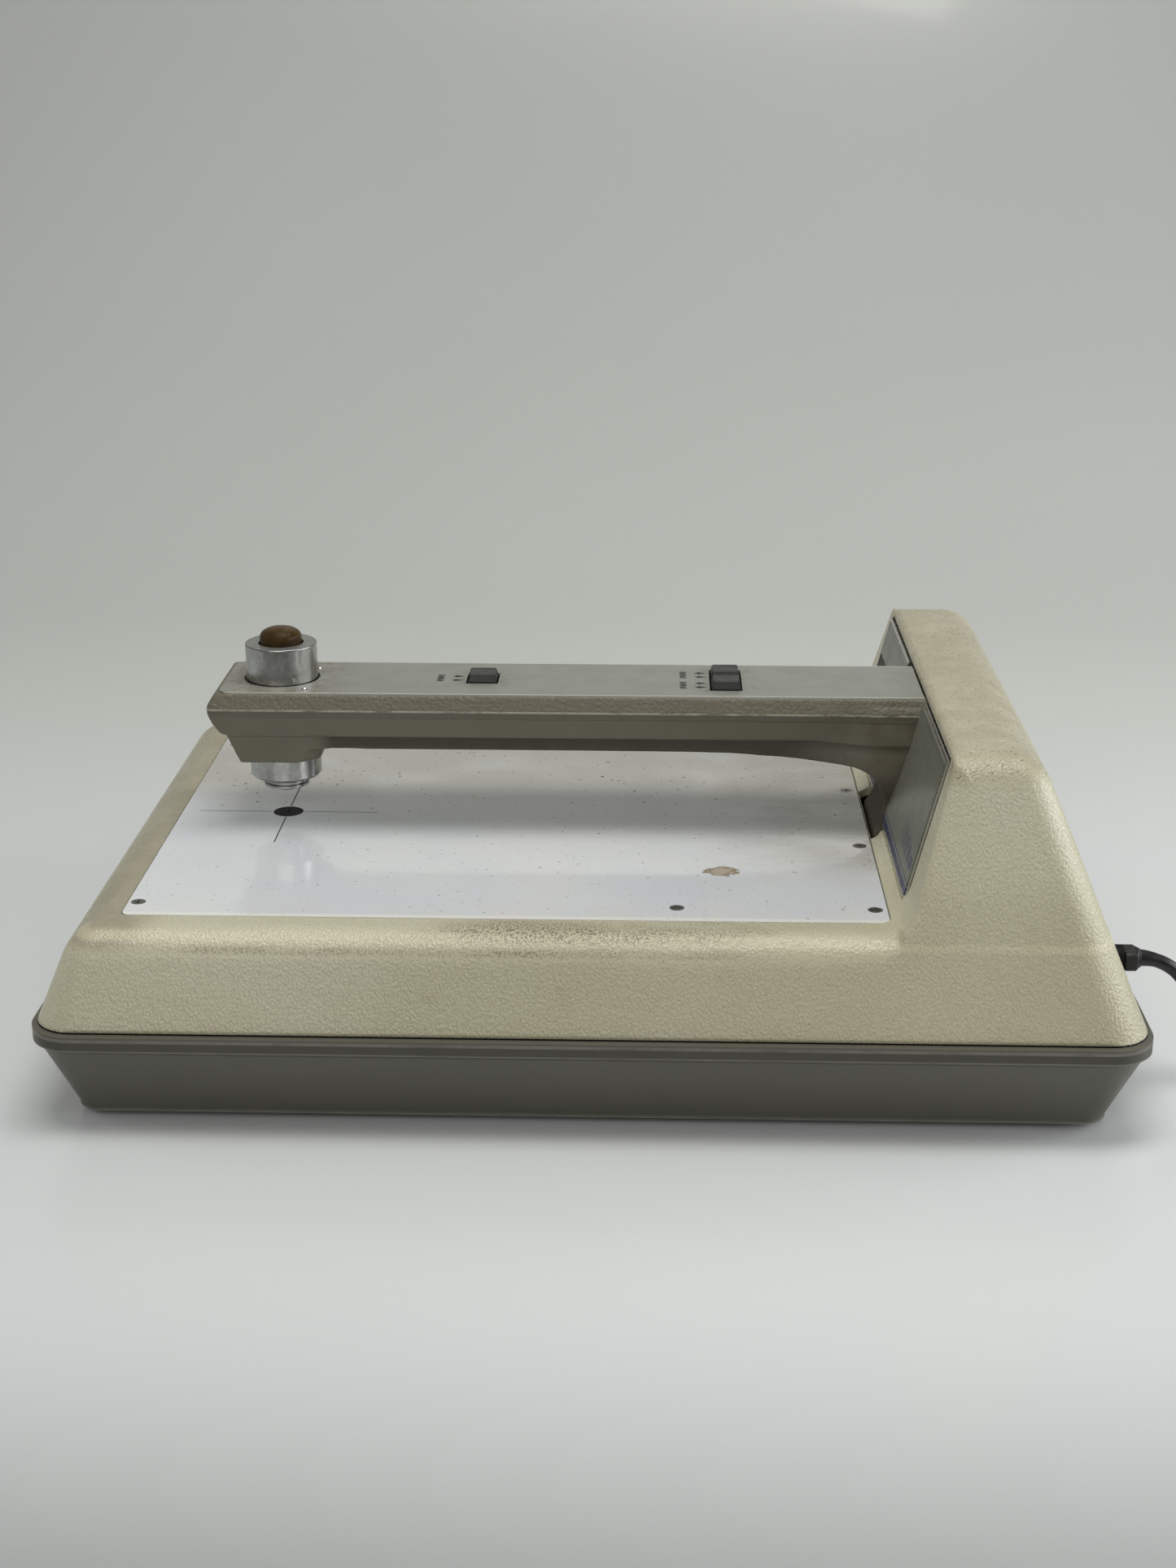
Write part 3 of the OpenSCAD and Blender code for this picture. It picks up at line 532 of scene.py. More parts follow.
def top_shell():
    shell = piece("case_shell", *case_surface(), slot="shell_plastic", replaces="top_shell")
    loose = bmesh.new()
    loose.from_mesh(shell.data)
    bmesh.ops.delete(loose, geom=[v for v in loose.verts if not v.link_faces], context="VERTS")
    bmesh.ops.remove_doubles(loose, verts=loose.verts, dist=0.02 * MM)
    loose.to_mesh(shell.data)
    loose.free()
    thick = shell.modifiers.new("wall", "SOLIDIFY")
    thick.thickness = WALL * MM
    thick.offset = -1
    bake(shell)
    window_low, window_high = box_mm("display_window")
    _, jack_y, jack_z = middle("power_jack")
    cuts = [
        ("plate_recess", rounded_points(*PLATE_HALF, PLATE_R, 10, PLATE_MID), upright,
         table_low[2] - 8, TABLE_Z + 1),
        ("panel_recess", rect_points(-RECESS_HALF, RECESS_S[0], RECESS_HALF, RECESS_S[1]),
         into_front, -4, RECESS_DEPTH),
        ("neck_slot", neck_slot_outline(), into_front, -5, 8),
        ("display_hole", rect_points(window_low[1] - 1, 18, window_high[1] + 1, 48.5),
         into_front, -1, 9),
        ("neck_well", neck_well_outline(), upright, 55, TABLE_Z + 12),
        ("jack_hole", circle_points(5.4, 48),
         lambda u, v, d: (d, jack_y + u, jack_z + v), 180, 215),
    ]
    cut(shell, [prism(*row) for row in cuts])
    even_normals(shell)


# ---- arm

# heights above the light table, and places along the arm from the aperture axis
ARM_TOP = 59.8
ARM_HALF = 27.5
TIP_X = -28
KEEL_Z = 34.5
HEAD_TOP, HEAD_Z = 41, 28.2
ROOT_X, ROOT_Z = 286, -14
FLARE = (210, 250)
LIP_Z = 53.3
STEP_Z = 50.3


def arm_underside():
    """Side view of the arm about the aperture axis and the light table's level."""
    arch = smooth_line([(22, KEEL_Z), (168, KEEL_Z), (200, 33.3), (222, 31.7), (236, 30.6),
                        (242, 28.8), (246.6, 25.6), (249.2, 20.5), (251.2, 14), (251.4, 9.4),
                        (250, 5.2), (248.3, 2), (247.5, -1.2), (247.4, -7), (249.4, -12)], 3)
    tip = [(-24.3, ARM_TOP), (TIP_X, LIP_Z + 0.4), (TIP_X, 51.8), (-27.3, STEP_Z), (-25.7, 46.2),
           (-23, 42), (-20.8, HEAD_TOP), (-15.8, HEAD_Z), (17, HEAD_Z), (19.5, 32)]
    return tip + arch + [(252.8, ROOT_Z), (ROOT_X, ROOT_Z), (ROOT_X, ARM_TOP)]


ARM_SIDE = arm_underside()


def head_field(x, y, z):
    """The head under the arm's tip, which narrows downwards."""
    t = (HEAD_TOP - z) / (HEAD_TOP - HEAD_Z)
    sides = (np.abs(y) - (22.5 - 2.5 * t)) * 0.97
    inner_end = (x - (20 - 3 * t)) * 0.97
    corner = (x - (15 - 1.75 * t)) * 0.57 + (np.abs(y) - (20.5 - 4 * t)) * 0.82
    body = round_inside(round_inside(sides, corner, 1.6), inner_end, 2.5)
    return np.maximum(body, z - 46)


def neck_field(x, y, z):
    """The keel along the arm, which flares into the neck at the tower, and the neck's foot."""
    keel = 19.5 + (z - 30) * 0.04
    neck = np.interp(z, [-13, -8, 0, 3.5, 12, 22, 40, 44, 54, 58.8],
                     [18.6, 22, 22, 18.8, 19, 24.4, 29, 29, 28, 24.9])
    half = keel + (neck - keel) * ramp(x, *FLARE)
    body = (np.abs(y) - half) * 0.9
    under_head = KEEL_Z - 60 * ramp(x, 30, 160) - z
    return np.maximum(round_inside(body, -x, 2), under_head)


def beam_section(y, z):
    """The beam's cross-section: sloped band, lip, parting step, and the skirt under it."""
    across = np.abs(y)
    band = ((across - ARM_HALF) * 6.4 + (z - LIP_Z) * 2.9) / math.hypot(6.4, 2.9)
    upper = round_inside(band, z - ARM_TOP, 0.4)
    upper = round_inside(upper, (across - ARM_HALF) + (LIP_Z - z) * 0.13, 0.5)
    upper = round_inside(upper, STEP_Z - z, 0.3)
    skirt = ((across - 26.3) * 9.3 - (z - STEP_Z) * 2.9) / math.hypot(9.3, 2.9)
    lower = round_inside(round_inside(skirt, HEAD_TOP - z, 0.8), z - 54, 0.1)
    return np.minimum(upper, lower)


def arm_field(x, y, z):
    low = round_outside(neck_field(x, y, z), head_field(x, y, z), 2)
    low = np.maximum(low, z - 56)
    whole = round_outside(beam_section(y, z), low, 0.7)
    side = outline_distance(x, z, ARM_SIDE)
    plan = rounded_rect(x - 150, y, 150 - TIP_X, 29.5, 6)
    return round_inside(round_inside(whole, side, 1.2), plan, 1.0)


def label_outline(gap):
    """The label seen from above, grown by gap: round corners at the tip, square at the tower."""
    x0, x1 = label_low[0] - AXIS_X - gap, label_high[0] - AXIS_X + gap
    half, r = label_high[1] + gap, 5
    left = rounded_points(half, half, r, 8, x0 + half)
    return [(x1, -half), (x1, half)] + [p for p in left if p[0] <= x0 + r + 1e-6]


def arm_casting():
    step = 0.9
    points, faces = net(arm_field, np.arange(TIP_X - 2, ROOT_X + 2, step),
                        np.arange(-32, 32.1, step), np.arange(ROOT_Z - 2, 61.5, step))
    places = settled(arm_field, points) + np.array([AXIS_X, 0, TABLE_Z])
    arm = piece("arm_body", places, faces, slot="casting_paint", replaces="arm_casting")
    seat_z = label_low[2] - TABLE_Z
    above, below = ARM_TOP + 2, ROOT_Z - 1
    cuts = [
        ("label_seat", label_outline(0.14), seat_z, above),
        ("bore", circle_points(15.1, 96), HEAD_Z - 5, seat_z),
        ("seat", circle_points(16.82, 96), 34, above),
        ("pocket_round", circle_points(17.6, 96), 38.5, above),
        ("pocket", rect_points(28, -19.5, 278, 19.5), 43, above),
        ("channel", rect_points(10, -4, 30, 4), 48, above),
        ("neck_way", rect_points(265, -9, 277, 9), below, 44),
    ]
    cuts += [("bolt_hole", circle_points(2, 24, x, y), below, 0)
             for x in (259.5, 280) for y in (-13.5, 13.5)]
    cut(arm, [prism(name, outline, at_arm, low, high) for name, outline, low, high in cuts])
    even_normals(arm)


# ---- optics, keys and lead

def turned_parts():
    """The round pieces of the optics tube and its button, with heights above the light table."""
    top = box_mm("optics_tube")[1][2] - TABLE_Z
    cap = top - 3.5
    tube = [(12.2, 17.6), (13.9, 17.6, 0.2), (14.9, 18.6, 0.3), (14.9, top, 0.5), (9.3, top, 0.35),
            (9.3, cap, 0.3), (12.2, cap, 0.3), (12.2, 17.6)]
    collar = [(4.4, 12.5), (7.6, 12.5, 0.3), (9.6, 13.3, 0.3), (9.6, 14.4, 0.3), (8.9, 14.7, 0.15),
              (8.9, 15.1, 0.15), (10.2, 15.4, 0.3), (10.2, 16.5, 0.35),
              (9.2, 16.5, 0.2), (9.2, 17.6, 0.2), (12.18, 17.6, 0.1), (12.18, 24, 0.2), (6, 24, 0.2),
              (6, 20, 0.1), (4.4, 20, 0.1), (4.4, 12.5)]
    tip = [(1.6, 11.5), (5.3, 11.5, 0.3), (5.3, 12.45, 0.2), (4.38, 12.45, 0.1), (4.38, 19.5, 0.1),
           (1.6, 19.5, 0.1), (1.6, 11.5)]
    button_r, side_z, dome_z, power = 8.7, 77.2, 81.7, 2.35
    stem = [(0, 61.5), (1.7, 61.5), (1.7, 69.9), (11.8, 69.9), (11.8, 71.6), (button_r, 71.6),
            (button_r, 74)]
    dome = []
    for a in (math.pi / 2 * i / 16 for i in range(16)):
        dome.append((button_r * math.cos(a) ** (2 / power),
                     side_z + (dome_z - side_z) * math.sin(a) ** (2 / power)))
    for name, profile, steps, body, slot, node in (
            ("optics_barrel", eased(tube), 128, "optics", "tube_aluminium", "optics_tube"),
            ("nose_ring", eased(collar), 96, "optics", "tube_aluminium", "nose_collar"),
            ("nose_aperture", eased(tip), 64, "optics", "black_plastic", "nose_tip"),
            ("button_cap", eased(stem) + dome + [(0, dome_z)], 96, "read_button", "button_amber",
             "read_button")):
        lathe(name, profile, at_arm, steps, body=body, slot=slot, replaces=node)


def spring():
    """The tube's return spring: a coil of wire about the tube's axis."""
    low, high = box_mm("tube_spring")
    wire, turns, per_turn = 0.45, 4.5, 36
    radius = (high[0] - low[0]) / 2 - wire
    z0, z1 = low[2] + wire, high[2] - wire
    steps = int(turns * per_turn)
    path = []
    for i in range(steps + 1):
        a = 2 * math.pi * i / per_turn
        path.append((AXIS_X + radius * math.cos(a), radius * math.sin(a), z0 + (z1 - z0) * i / steps))
    coil = swept("return_spring", path, [wire] * len(path), sides=10, slot="spring_steel",
                 replaces="tube_spring")
    bake(coil)
    slide = next(joint for joint in frame["joints"] if joint["name"] == "tube_slide")
    length = high[2] - low[2]
    keep = (length - slide["range_m"][1] / MM) / length
    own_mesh(coil)


def key_cap(node):
    """A key: stem, hidden flange, straight skirt, and a crown with a dished top."""
    x, y, _ = middle(node)
    bottom, top = (corner[2] for corner in box_mm(node))
    shoulder = label_low[2] - 1.6
    levels = [(1.65, 1.65, 1.6, bottom), (1.65, 1.65, 1.6, shoulder), (6.6, 7.5, 0.8, shoulder),
              (6.6, 7.5, 0.8, shoulder + 1), (6.0, 7.2, 0.7, shoulder + 1)]
    crown = [(6.0, 7.2, 3.2), (5.93, 7.1, 2.9), (5.8, 6.8, 2.6), (5.45, 5.0, 0.45),
             (5.36, 4.82, 0.18), (5.2, 4.6, 0.03), (5.0, 4.4, 0), (4.7, 4.1, 0.03),
             (4.2, 3.6, 0.14), (3.2, 2.7, 0.24)]
    levels += [(half_x, half_y, 0.7, top - drop) for half_x, half_y, drop in crown]
    levels.append((1.6, 1.4, 0.6, top - 0.3))
    stacked(node + "_cap", levels, lambda u, v, d: (x + u, y + v, d), body=node,
            slot="key_plastic", replaces=node)


def power_parts():
    """The plug in the rear wall, the lead's two bends down to the bench, and its end connector."""
    plug_low, plug_high = box_mm("power_plug")
    lead_low, lead_high = box_mm("power_lead")
    end_low, end_high = box_mm("lead_connector")
    _, y, z = middle("power_plug")
    end_x, end_z = end_low[0], middle("lead_connector")[2]
    half_y, half_z = (plug_high[1] - plug_low[1]) / 2, (plug_high[2] - plug_low[2]) / 2 - 1.3
    back, face = plug_high[0], plug_high[0] - 6.5
    levels = [(3.1, 3.1, 3.05, plug_low[0]), (3.1, 3.1, 3.05, face),
              (half_z - 0.4, half_y - 0.4, 2, face), (half_z, half_y, 2.2, face + 0.4),
              (half_z, half_y, 2.2, back - 2.2), (half_z - 0.4, half_y - 0.4, 2.2, back - 1.6),
              (3.9, 4.2, 2.6, back - 1.3), (3.5, 3.6, 2.8, back)]
    stacked("plug_body", levels, lambda u, v, d: (d, y + v, z + u), slot="lead_plastic",
            replaces="power_plug")
    # the cable bends down by this angle and back again
    r, bend, bend2, angle = (lead_high[1] - lead_low[1]) / 2, 21.5, 24, math.radians(60)
    x0, x2 = back - 0.5, end_x - 6
    path = [(x0, y, z)]
    path += [(x0 + 0.5 + bend * math.sin(a), y, z - bend * (1 - math.cos(a)))
             for a in np.linspace(0, angle, 22)]
    path += [(x2 - bend2 * math.sin(a), y, end_z + bend2 * (1 - math.cos(a)))
             for a in np.linspace(angle, 0, 22)]
    path.append((end_x + 0.5, y, end_z))
    radii = [r + 0.75 * max(0, 1 - i / 7) for i in range(len(path))]
    swept("lead_cable", path, radii, slot="lead_rubber", replaces="power_lead")
    body = (end_high[2] - end_low[2]) / 2
    length = end_high[0] - end_low[0] - 9
    grip = [(0, 0), (3.4, 0, 0.4), (4.2, 3, 0.4)]
    for at in (4.5 + 2.6 * i for i in range(4)):
        grip += [(4.2, at, 0.2), (4.7, at + 0.5, 0.2), (4.7, at + 1.5, 0.2), (4.2, at + 2, 0.2)]
    grip += [(4.2, 15.5, 0.2), (body, 16.4, 0.5), (body, length, 0.6), (0, length)]
    pin = [(0, length - 1), (2, length - 1), (2, length + 9, 0.3), (0.9, length + 9, 0.2),
           (0.9, length + 5), (0, length + 5)]
    for name, profile, steps, slot in (("connector_grip", grip, 64, "lead_plastic"),
                                       ("connector_pin", pin, 48, "screw_steel")):
        lathe(name, eased(profile), lambda u, v, d: (end_x + d, y + u, end_z + v), steps,
              slot=slot, replaces="lead_connector")


def label_marks():
    """Plain arrows and blocks of short bars printed beside the keys, in place of any words."""
    thick = 0.04
    outlines = []
    for node in KEYS:
        x, y = box_mm(node)[0][0] - 4.6, middle(node)[1]
        for side in (-1, 1):
            at = y + side * 2.9
            arrow = [(x + 3.4, at), (x - 0.4, at + 1.3 * side), (x - 0.4, at - 1.3 * side)]
            outlines.append(arrow[::side])
            outlines.append(rect_points(x - 1.4, at - 0.4, x, at + 0.4))
        for i in range(6):
            at = y + (i - 2.5) * 1.7
            short = 0.6 * (i % 3 == 1)
            outlines.append(rect_points(x - 7.8, at - 0.5, x - 5 - short, at + 0.5))
    points, faces = [], []
    for outline in outlines:
        rings = [[(u, v, z) for u, v in outline] for z in (label_high[2], label_high[2] + thick)]
        more_points, more_faces = skin(rings)
        faces += [[len(points) + i for i in face] for face in more_faces]
        points += more_points
    piece("label_marks", points, faces, slot="black_ink", smooth=False)


# ---- materials

class Signal:
    """A number that varies over a surface: a node's output that can be reckoned with."""

    def __init__(self, finish, socket):
        self.finish = finish
        self.socket = socket

    def math(self, operation, other=0.0):
        made = self.finish.node("ShaderNodeMath", {0: self, 1: other}, operation=operation)
        return Signal(self.finish, made.outputs[0])

    def __add__(self, other):
        return self.math("ADD", other)

    def __sub__(self, other):
        return self.math("SUBTRACT", other)

    def __mul__(self, other):
        return self.math("MULTIPLY", other)

    def __truediv__(self, other):
        return self.math("DIVIDE", other)

    def __or__(self, other):
        return self.math("MAXIMUM", other)

    def __abs__(self):
        return self.math("ABSOLUTE")

    def step(self, low, high, start=0.0, end=1.0):
        """start below low, end above high, and smooth between them."""
        if low > high:
            low, high, start, end = high, low, end, start
        made = self.finish.node("ShaderNodeMapRange", {0: self, 1: low, 2: high, 3: start, 4: end},
                                interpolation_type="SMOOTHSTEP")
        return Signal(self.finish, made.outputs[0])

    def band(self, low, high, soft):
        """1 between low and high, fading to 0 over soft on each side."""
        return self.step(low - soft, low + soft) * self.step(high - soft, high + soft, 1.0, 0.0)


class Finish:
    """Builds one node material. Its patterns are laid out in the frame's millimetres."""

    def __init__(self, name, colour, metallic=0.0, coat=0.0, shine=0.5):
        self.material = bpy.data.materials.new(name)
        self.material.use_nodes = True
        self.tree = self.material.node_tree
        self.bsdf = self.tree.nodes["Principled BSDF"]
        self.set("Metallic", metallic)
        self.set("Coat Weight", coat)
        self.set("Specular IOR Level", shine)
        coords = self.node("ShaderNodeTexCoord")
        self.place = self.node("ShaderNodeVectorMath", {0: coords.outputs["Object"], 3: 1 / MM},
                               operation="SCALE").outputs[0]
        self.x, self.y, self.z = self.split(self.place)
        self.colour = colour
        self.relief_end = None

    def node(self, kind, inputs=None, **settings):
        made = self.tree.nodes.new(kind)
        for key, value in settings.items():
            setattr(made, key, value)
        for key, value in (inputs or {}).items():
            self.put(made.inputs[key], value)
        return made

    def put(self, socket, value):
        if isinstance(value, Signal):
            value = value.socket
        if isinstance(value, bpy.types.NodeSocket):
            self.tree.links.new(value, socket)
        elif socket.type == "RGBA" and len(value) == 3:
            socket.default_value = (*value, 1)
        else:
            socket.default_value = value

    def set(self, name, value):
        self.put(self.bsdf.inputs[name], value)

    def split(self, vector):
        made = self.node("ShaderNodeSeparateXYZ", {0: vector})
        return [Signal(self, socket) for socket in made.outputs]

    def spot(self, stretch, shift):
        made = self.node("ShaderNodeVectorMath", {0: self.place, 1: stretch, 2: (shift,) * 3},
                         operation="MULTIPLY_ADD")
        return made.outputs[0]

    def noise(self, size, detail, rough, stretch=(1, 1, 1), shift=0.0, twist=0.0):
        """Noise from 0 to 1 whose features are about size across."""
        inputs = {"Vector": self.spot(stretch, shift), "Scale": 1 / size, "Detail": detail,
                  "Roughness": rough, "Distortion": twist}
        return Signal(self, self.node("ShaderNodeTexNoise", inputs).outputs[0])

    def pebbles(self, size, smooth, stretch):
        """Distance to the nearest of a scatter of points about size apart."""
        inputs = {"Vector": self.spot(stretch, 0.0), "Scale": 1 / size, "Smoothness": smooth}
        made = self.node("ShaderNodeTexVoronoi", inputs, feature="SMOOTH_F1")
        return Signal(self, made.outputs["Distance"])

    def specks(self, size, amount, shift=0.0):
        """Small scattered spots: a larger amount means more of them."""
        fine = self.noise(size, 1.0, 0.4, shift=shift)
        patch = self.noise(size * 9, 2.0, 0.5, shift=shift + 40)
        return (patch * 0.12 + fine).step(0.83 - amount, 0.86 - amount)

    def paint(self, tint, share):
        """Lays a tint over the colour so far, by a share from 0 to 1."""
        made = self.node("ShaderNodeMix", {0: share, 6: self.colour, 7: tint}, data_type="RGBA")
        self.colour = made.outputs[2]

    def relief(self, height, depth):
        """Raises the surface by height, a share of depth, on top of the relief so far."""
        made = self.node("ShaderNodeBump", {"Height": height, "Distance": depth * MM, "Strength": 1.0})
        if self.relief_end is not None:
            self.put(made.inputs["Normal"], self.relief_end)
        self.relief_end = made.outputs[0]

    def done(self, roughness):
        self.set("Base Color", self.colour)
        self.set("Roughness", roughness)
        if self.relief_end is not None:
            self.set("Normal", self.relief_end)
        return self.material


def dimmed(colour, share):
    return tuple(c * share for c in colour)


def moulded(name, base, dark, patch, rough, grain, metallic=0.0, dust=0.02, coat=0.0, shine=0.5):
    """A general finish: mottled colour, uneven gloss, a fine grain, and dust."""
    f = Finish(name, dimmed(base, dark), metallic, coat, shine)
    f.paint(base, f.noise(patch, 4, 0.6))
    f.paint(dimmed(base, 0.45), f.specks(0.5, dust) * 0.5)
    f.relief(f.noise(grain[0], 2, 0.5), grain[1])
    return f.done(f.noise(patch * 0.4, 3, 0.6, shift=7).step(0.3, 0.7, *rough))


def shell_finish(name):
    """Yellowed cream plastic with a leather grain, scuffed and dirty where hands and film rub, with painted shade
    in its gaps and on its roof and a painted highlight along its near edge.
    """
    f = Finish(name, (0.575, 0.55, 0.392), shine=0.62)
    f.paint((0.635, 0.61, 0.455), f.noise(90, 3, 0.5).step(0.35, 0.65))
    f.paint((0.53, 0.49, 0.325), f.noise(160, 2, 0.5, shift=31).step(0.45, 0.7) * 0.6)
    # dirt on the ring's left end and round the arm's root
    left = f.x.step(-160, -178) * f.z.step(64, 71)
    root = abs(f.y).step(60, 30) * f.x.band(111, 124, 3)
    grime = f.noise(16, 4, 0.7, shift=3).step(0.35, 0.68)
    f.paint((0.25, 0.21, 0.14), (left | root) * grime * 0.62)
    f.paint((0.34, 0.31, 0.22), left * 0.72)
    # dark wear in the grain along the near top edge, brownest in its middle, and a pale band painted along it as a
    # highlight
    near = f.y.step(-120, -126)
    rubbed = f.noise(38, 3, 0.6, stretch=(0.35, 1, 1), shift=5).step(0.36, 0.6)
    pits = f.noise(0.85, 2, 0.6, stretch=(1, 1, 0.8), shift=11).step(0.48, 0.57)
    edge = near * f.z.band(66, 68.4, 0.9) * f.x.band(-152, 60, 24)
    brown = f.y.step(-117, -121) * f.z.band(70, 74, 1) * f.x.band(-62, 74, 30) * rubbed
    haze = edge * rubbed * 0.4 | brown * 0.32
    f.paint((0.34, 0.28, 0.17), haze)
    # painted highlight along the near top edge
    f.paint((0.80, 0.73, 0.51), near * f.z.band(69.6, 72.4, 0.8) * 0.5)
    f.paint((0.12, 0.095, 0.06), (edge | brown) * rubbed * pits * 0.9)
    # a shade and a faint smear lower on the near wall, scattered specks and scratches
    f.paint((0.36, 0.33, 0.225), f.y.step(-128, -134) * f.x.step(-170, -60) * 0.22)
    cloud = f.noise(22, 4, 0.7, shift=19).step(0.56, 0.75)
    f.paint((0.33, 0.30, 0.21), f.y.step(-128, -138) * f.z.band(44, 60, 6) * cloud * 0.3)
    f.paint((0.12, 0.10, 0.07), f.specks(0.62, 0.03) * 0.75)
    scratch = f.noise(0.5, 1, 0.4, stretch=(1, 0.05, 0.35), shift=23).step(0.735, 0.76)
    f.paint((0.3, 0.27, 0.2), scratch * 0.35)
    # dirt in the hollows of the grain
    pebble = f.pebbles(0.95, 0.3, (1, 1, 0.75))
    f.paint((0.36, 0.31, 0.20), pebble.step(0.25, 0.6) * 0.2)
    # brown film on the tower's roof, dirt that is also painted shade darkening the top face, and specks
    roof = f.z.step(TABLE_Z + 52, TABLE_Z + 60) * f.x.step(FRONT_X, FRONT_X + 16)
    film = f.noise(16, 4, 0.65, shift=31).step(0.25, 0.65, 0.35, 1.0)
    f.paint((0.36, 0.31, 0.205), roof * film * 0.6)
    f.paint((0.12, 0.09, 0.055), roof * f.specks(1.2, 0.1, shift=21) * 0.8)
    # painted shade in the gaps at the shell's bottom edge and round the front panel
    across = abs(f.y).step(RECESS_HALF + 0.5, RECESS_HALF + 0.4)
    up = up_front(f.x, f.z).band(RECESS_S[0] - 0.4, RECESS_S[1] + 0.4, 0.05)
    depth = behind_front(f.x, f.z).band(0.14, RECESS_DEPTH + 0.5, 0.03)
    gap = across * up * depth | f.z.step(SHELL_Z + 0.75, SHELL_Z + 0.55)
    # painted shade: near-black in these gaps
    f.paint((0.009, 0.008, 0.007), gap)
    f.relief(pebble, 0.2)
    f.relief(f.noise(1.1, 3, 0.5, stretch=(1.35, 1.35, 0.6), twist=0.8), 0.22)
    gloss = f.noise(40, 3, 0.6, shift=9).step(0.3, 0.7, 0.21, 0.3)
    return f.done(haze * 0.25 + gloss)


def tray_finish(name):
    """Smooth dark taupe plastic whose lip is darker, with pale lines along its edges that are handling wear and
    painted highlight.
    """
    base = (0.112, 0.108, 0.084)
    f = Finish(name, dimmed(base, 0.88))
    f.paint(base, f.noise(45, 4, 0.6))
    foot_z = box_mm("base_tray")[0][2]
    lip_z = foot_z + 31
    f.paint((0.05, 0.046, 0.034), f.z.band(lip_z + 0.3, SHELL_Z - 1.4, 0.4) * 0.8)
    # pale lines along the edges: rubbed wear, and also painted highlight
    rubbed = f.noise(14, 4, 0.7).step(0.25, 0.6, 0.25, 0.75)
    lines = (f.z.band(lip_z - 0.15, lip_z + 0.45, 0.15) | f.z.band(SHELL_Z - 2.1, SHELL_Z - 0.9, 0.2)
             | f.z.band(foot_z - 0.1, foot_z + 0.7, 0.2))
    f.paint((0.21, 0.205, 0.175), lines * rubbed)
    f.paint((0.05, 0.048, 0.04), f.specks(0.5, 0.025) * 0.5)
    f.relief(f.noise(0.5, 2, 0.5), 0.012)
    return f.done(f.noise(18, 3, 0.6, shift=7).step(0.3, 0.7, 0.34, 0.46))


def table_finish(name):
    """Glossy opal acrylic with a faint blue cast, dust, hairlines, one brown stain, and a painted highlight along
    its near edge.
    """
    f = Finish(name, (0.76, 0.775, 0.775), coat=0.25)
    f.set("Coat Roughness", 0.04)
    f.paint((0.71, 0.735, 0.765), f.noise(70, 3, 0.5).step(0.35, 0.65))
    rim = abs(f.y).step(96, 118) | f.x.step(84, 112)
    f.paint((0.72, 0.70, 0.65), rim * f.noise(22, 4, 0.6).step(0.3, 0.7) * 0.5)
    # darker and browner behind the aperture axis
    browner_behind_axis = f.y.step(0, 45) * f.noise(45, 3, 0.5, shift=14).step(0.1, 0.6, 0.5, 1.0)
    f.paint((0.37, 0.345, 0.275), browner_behind_axis * 0.72)
    handled = f.noise(20, 4, 0.6, stretch=(0.5, 1, 1), shift=23).step(0.25, 0.6, 0.35, 1.0)
    handled = (f.x - AXIS_X).step(165, 225) * f.y.band(-62, 80, 26) * handled
    f.paint((0.30, 0.27, 0.205), handled * 0.6)
    # painted highlight along the plate's near edge
    f.paint((0.86, 0.85, 0.80), f.y.step(-115.4, -116) * 0.8)
    # the stain: a blot with a wavy edge and a darker ring
    stain_x, stain_y, stain_half_x, stain_half_y = AXIS_X + 183.7, -66.3, 8.2, 6.4
    dx = (f.x - stain_x) / stain_half_x
    dy = (f.y - stain_y) / stain_half_y
    away = f.noise(3.2, 4, 0.65, shift=2) * 1.5 + (dx * dx + dy * dy).math("SQRT")
    blot = away.step(1.62, 1.42)
    f.paint((0.36, 0.28, 0.17), blot * 0.75)
    f.paint((0.23, 0.16, 0.09), away.band(1.3, 1.55, 0.08) * 0.7)
    f.paint((0.20, 0.17, 0.13), f.specks(0.7, 0.035) * 0.85)
    grit = f.specks(2.4, 0.045, shift=8) * f.y.step(-60, 10, 0.5, 1.0) * 0.95
    f.paint((0.09, 0.075, 0.055), grit)
    hair = f.noise(1.1, 2, 0.5, stretch=(0.06, 1, 1), shift=17).step(0.72, 0.75)
    f.paint((0.45, 0.42, 0.38), hair * 0.25)
    f.relief(f.noise(120, 2, 0.5), 0.15)
    f.set("Coat Weight", (blot | grit).step(0, 1, 0.25, 0))
    f.set("Specular IOR Level", (blot | grit).step(0, 1, 0.5, 0.12))
    return f.done(blot * 0.4 + f.noise(18, 4, 0.6, shift=4).step(0.3, 0.75, 0.07, 0.17))


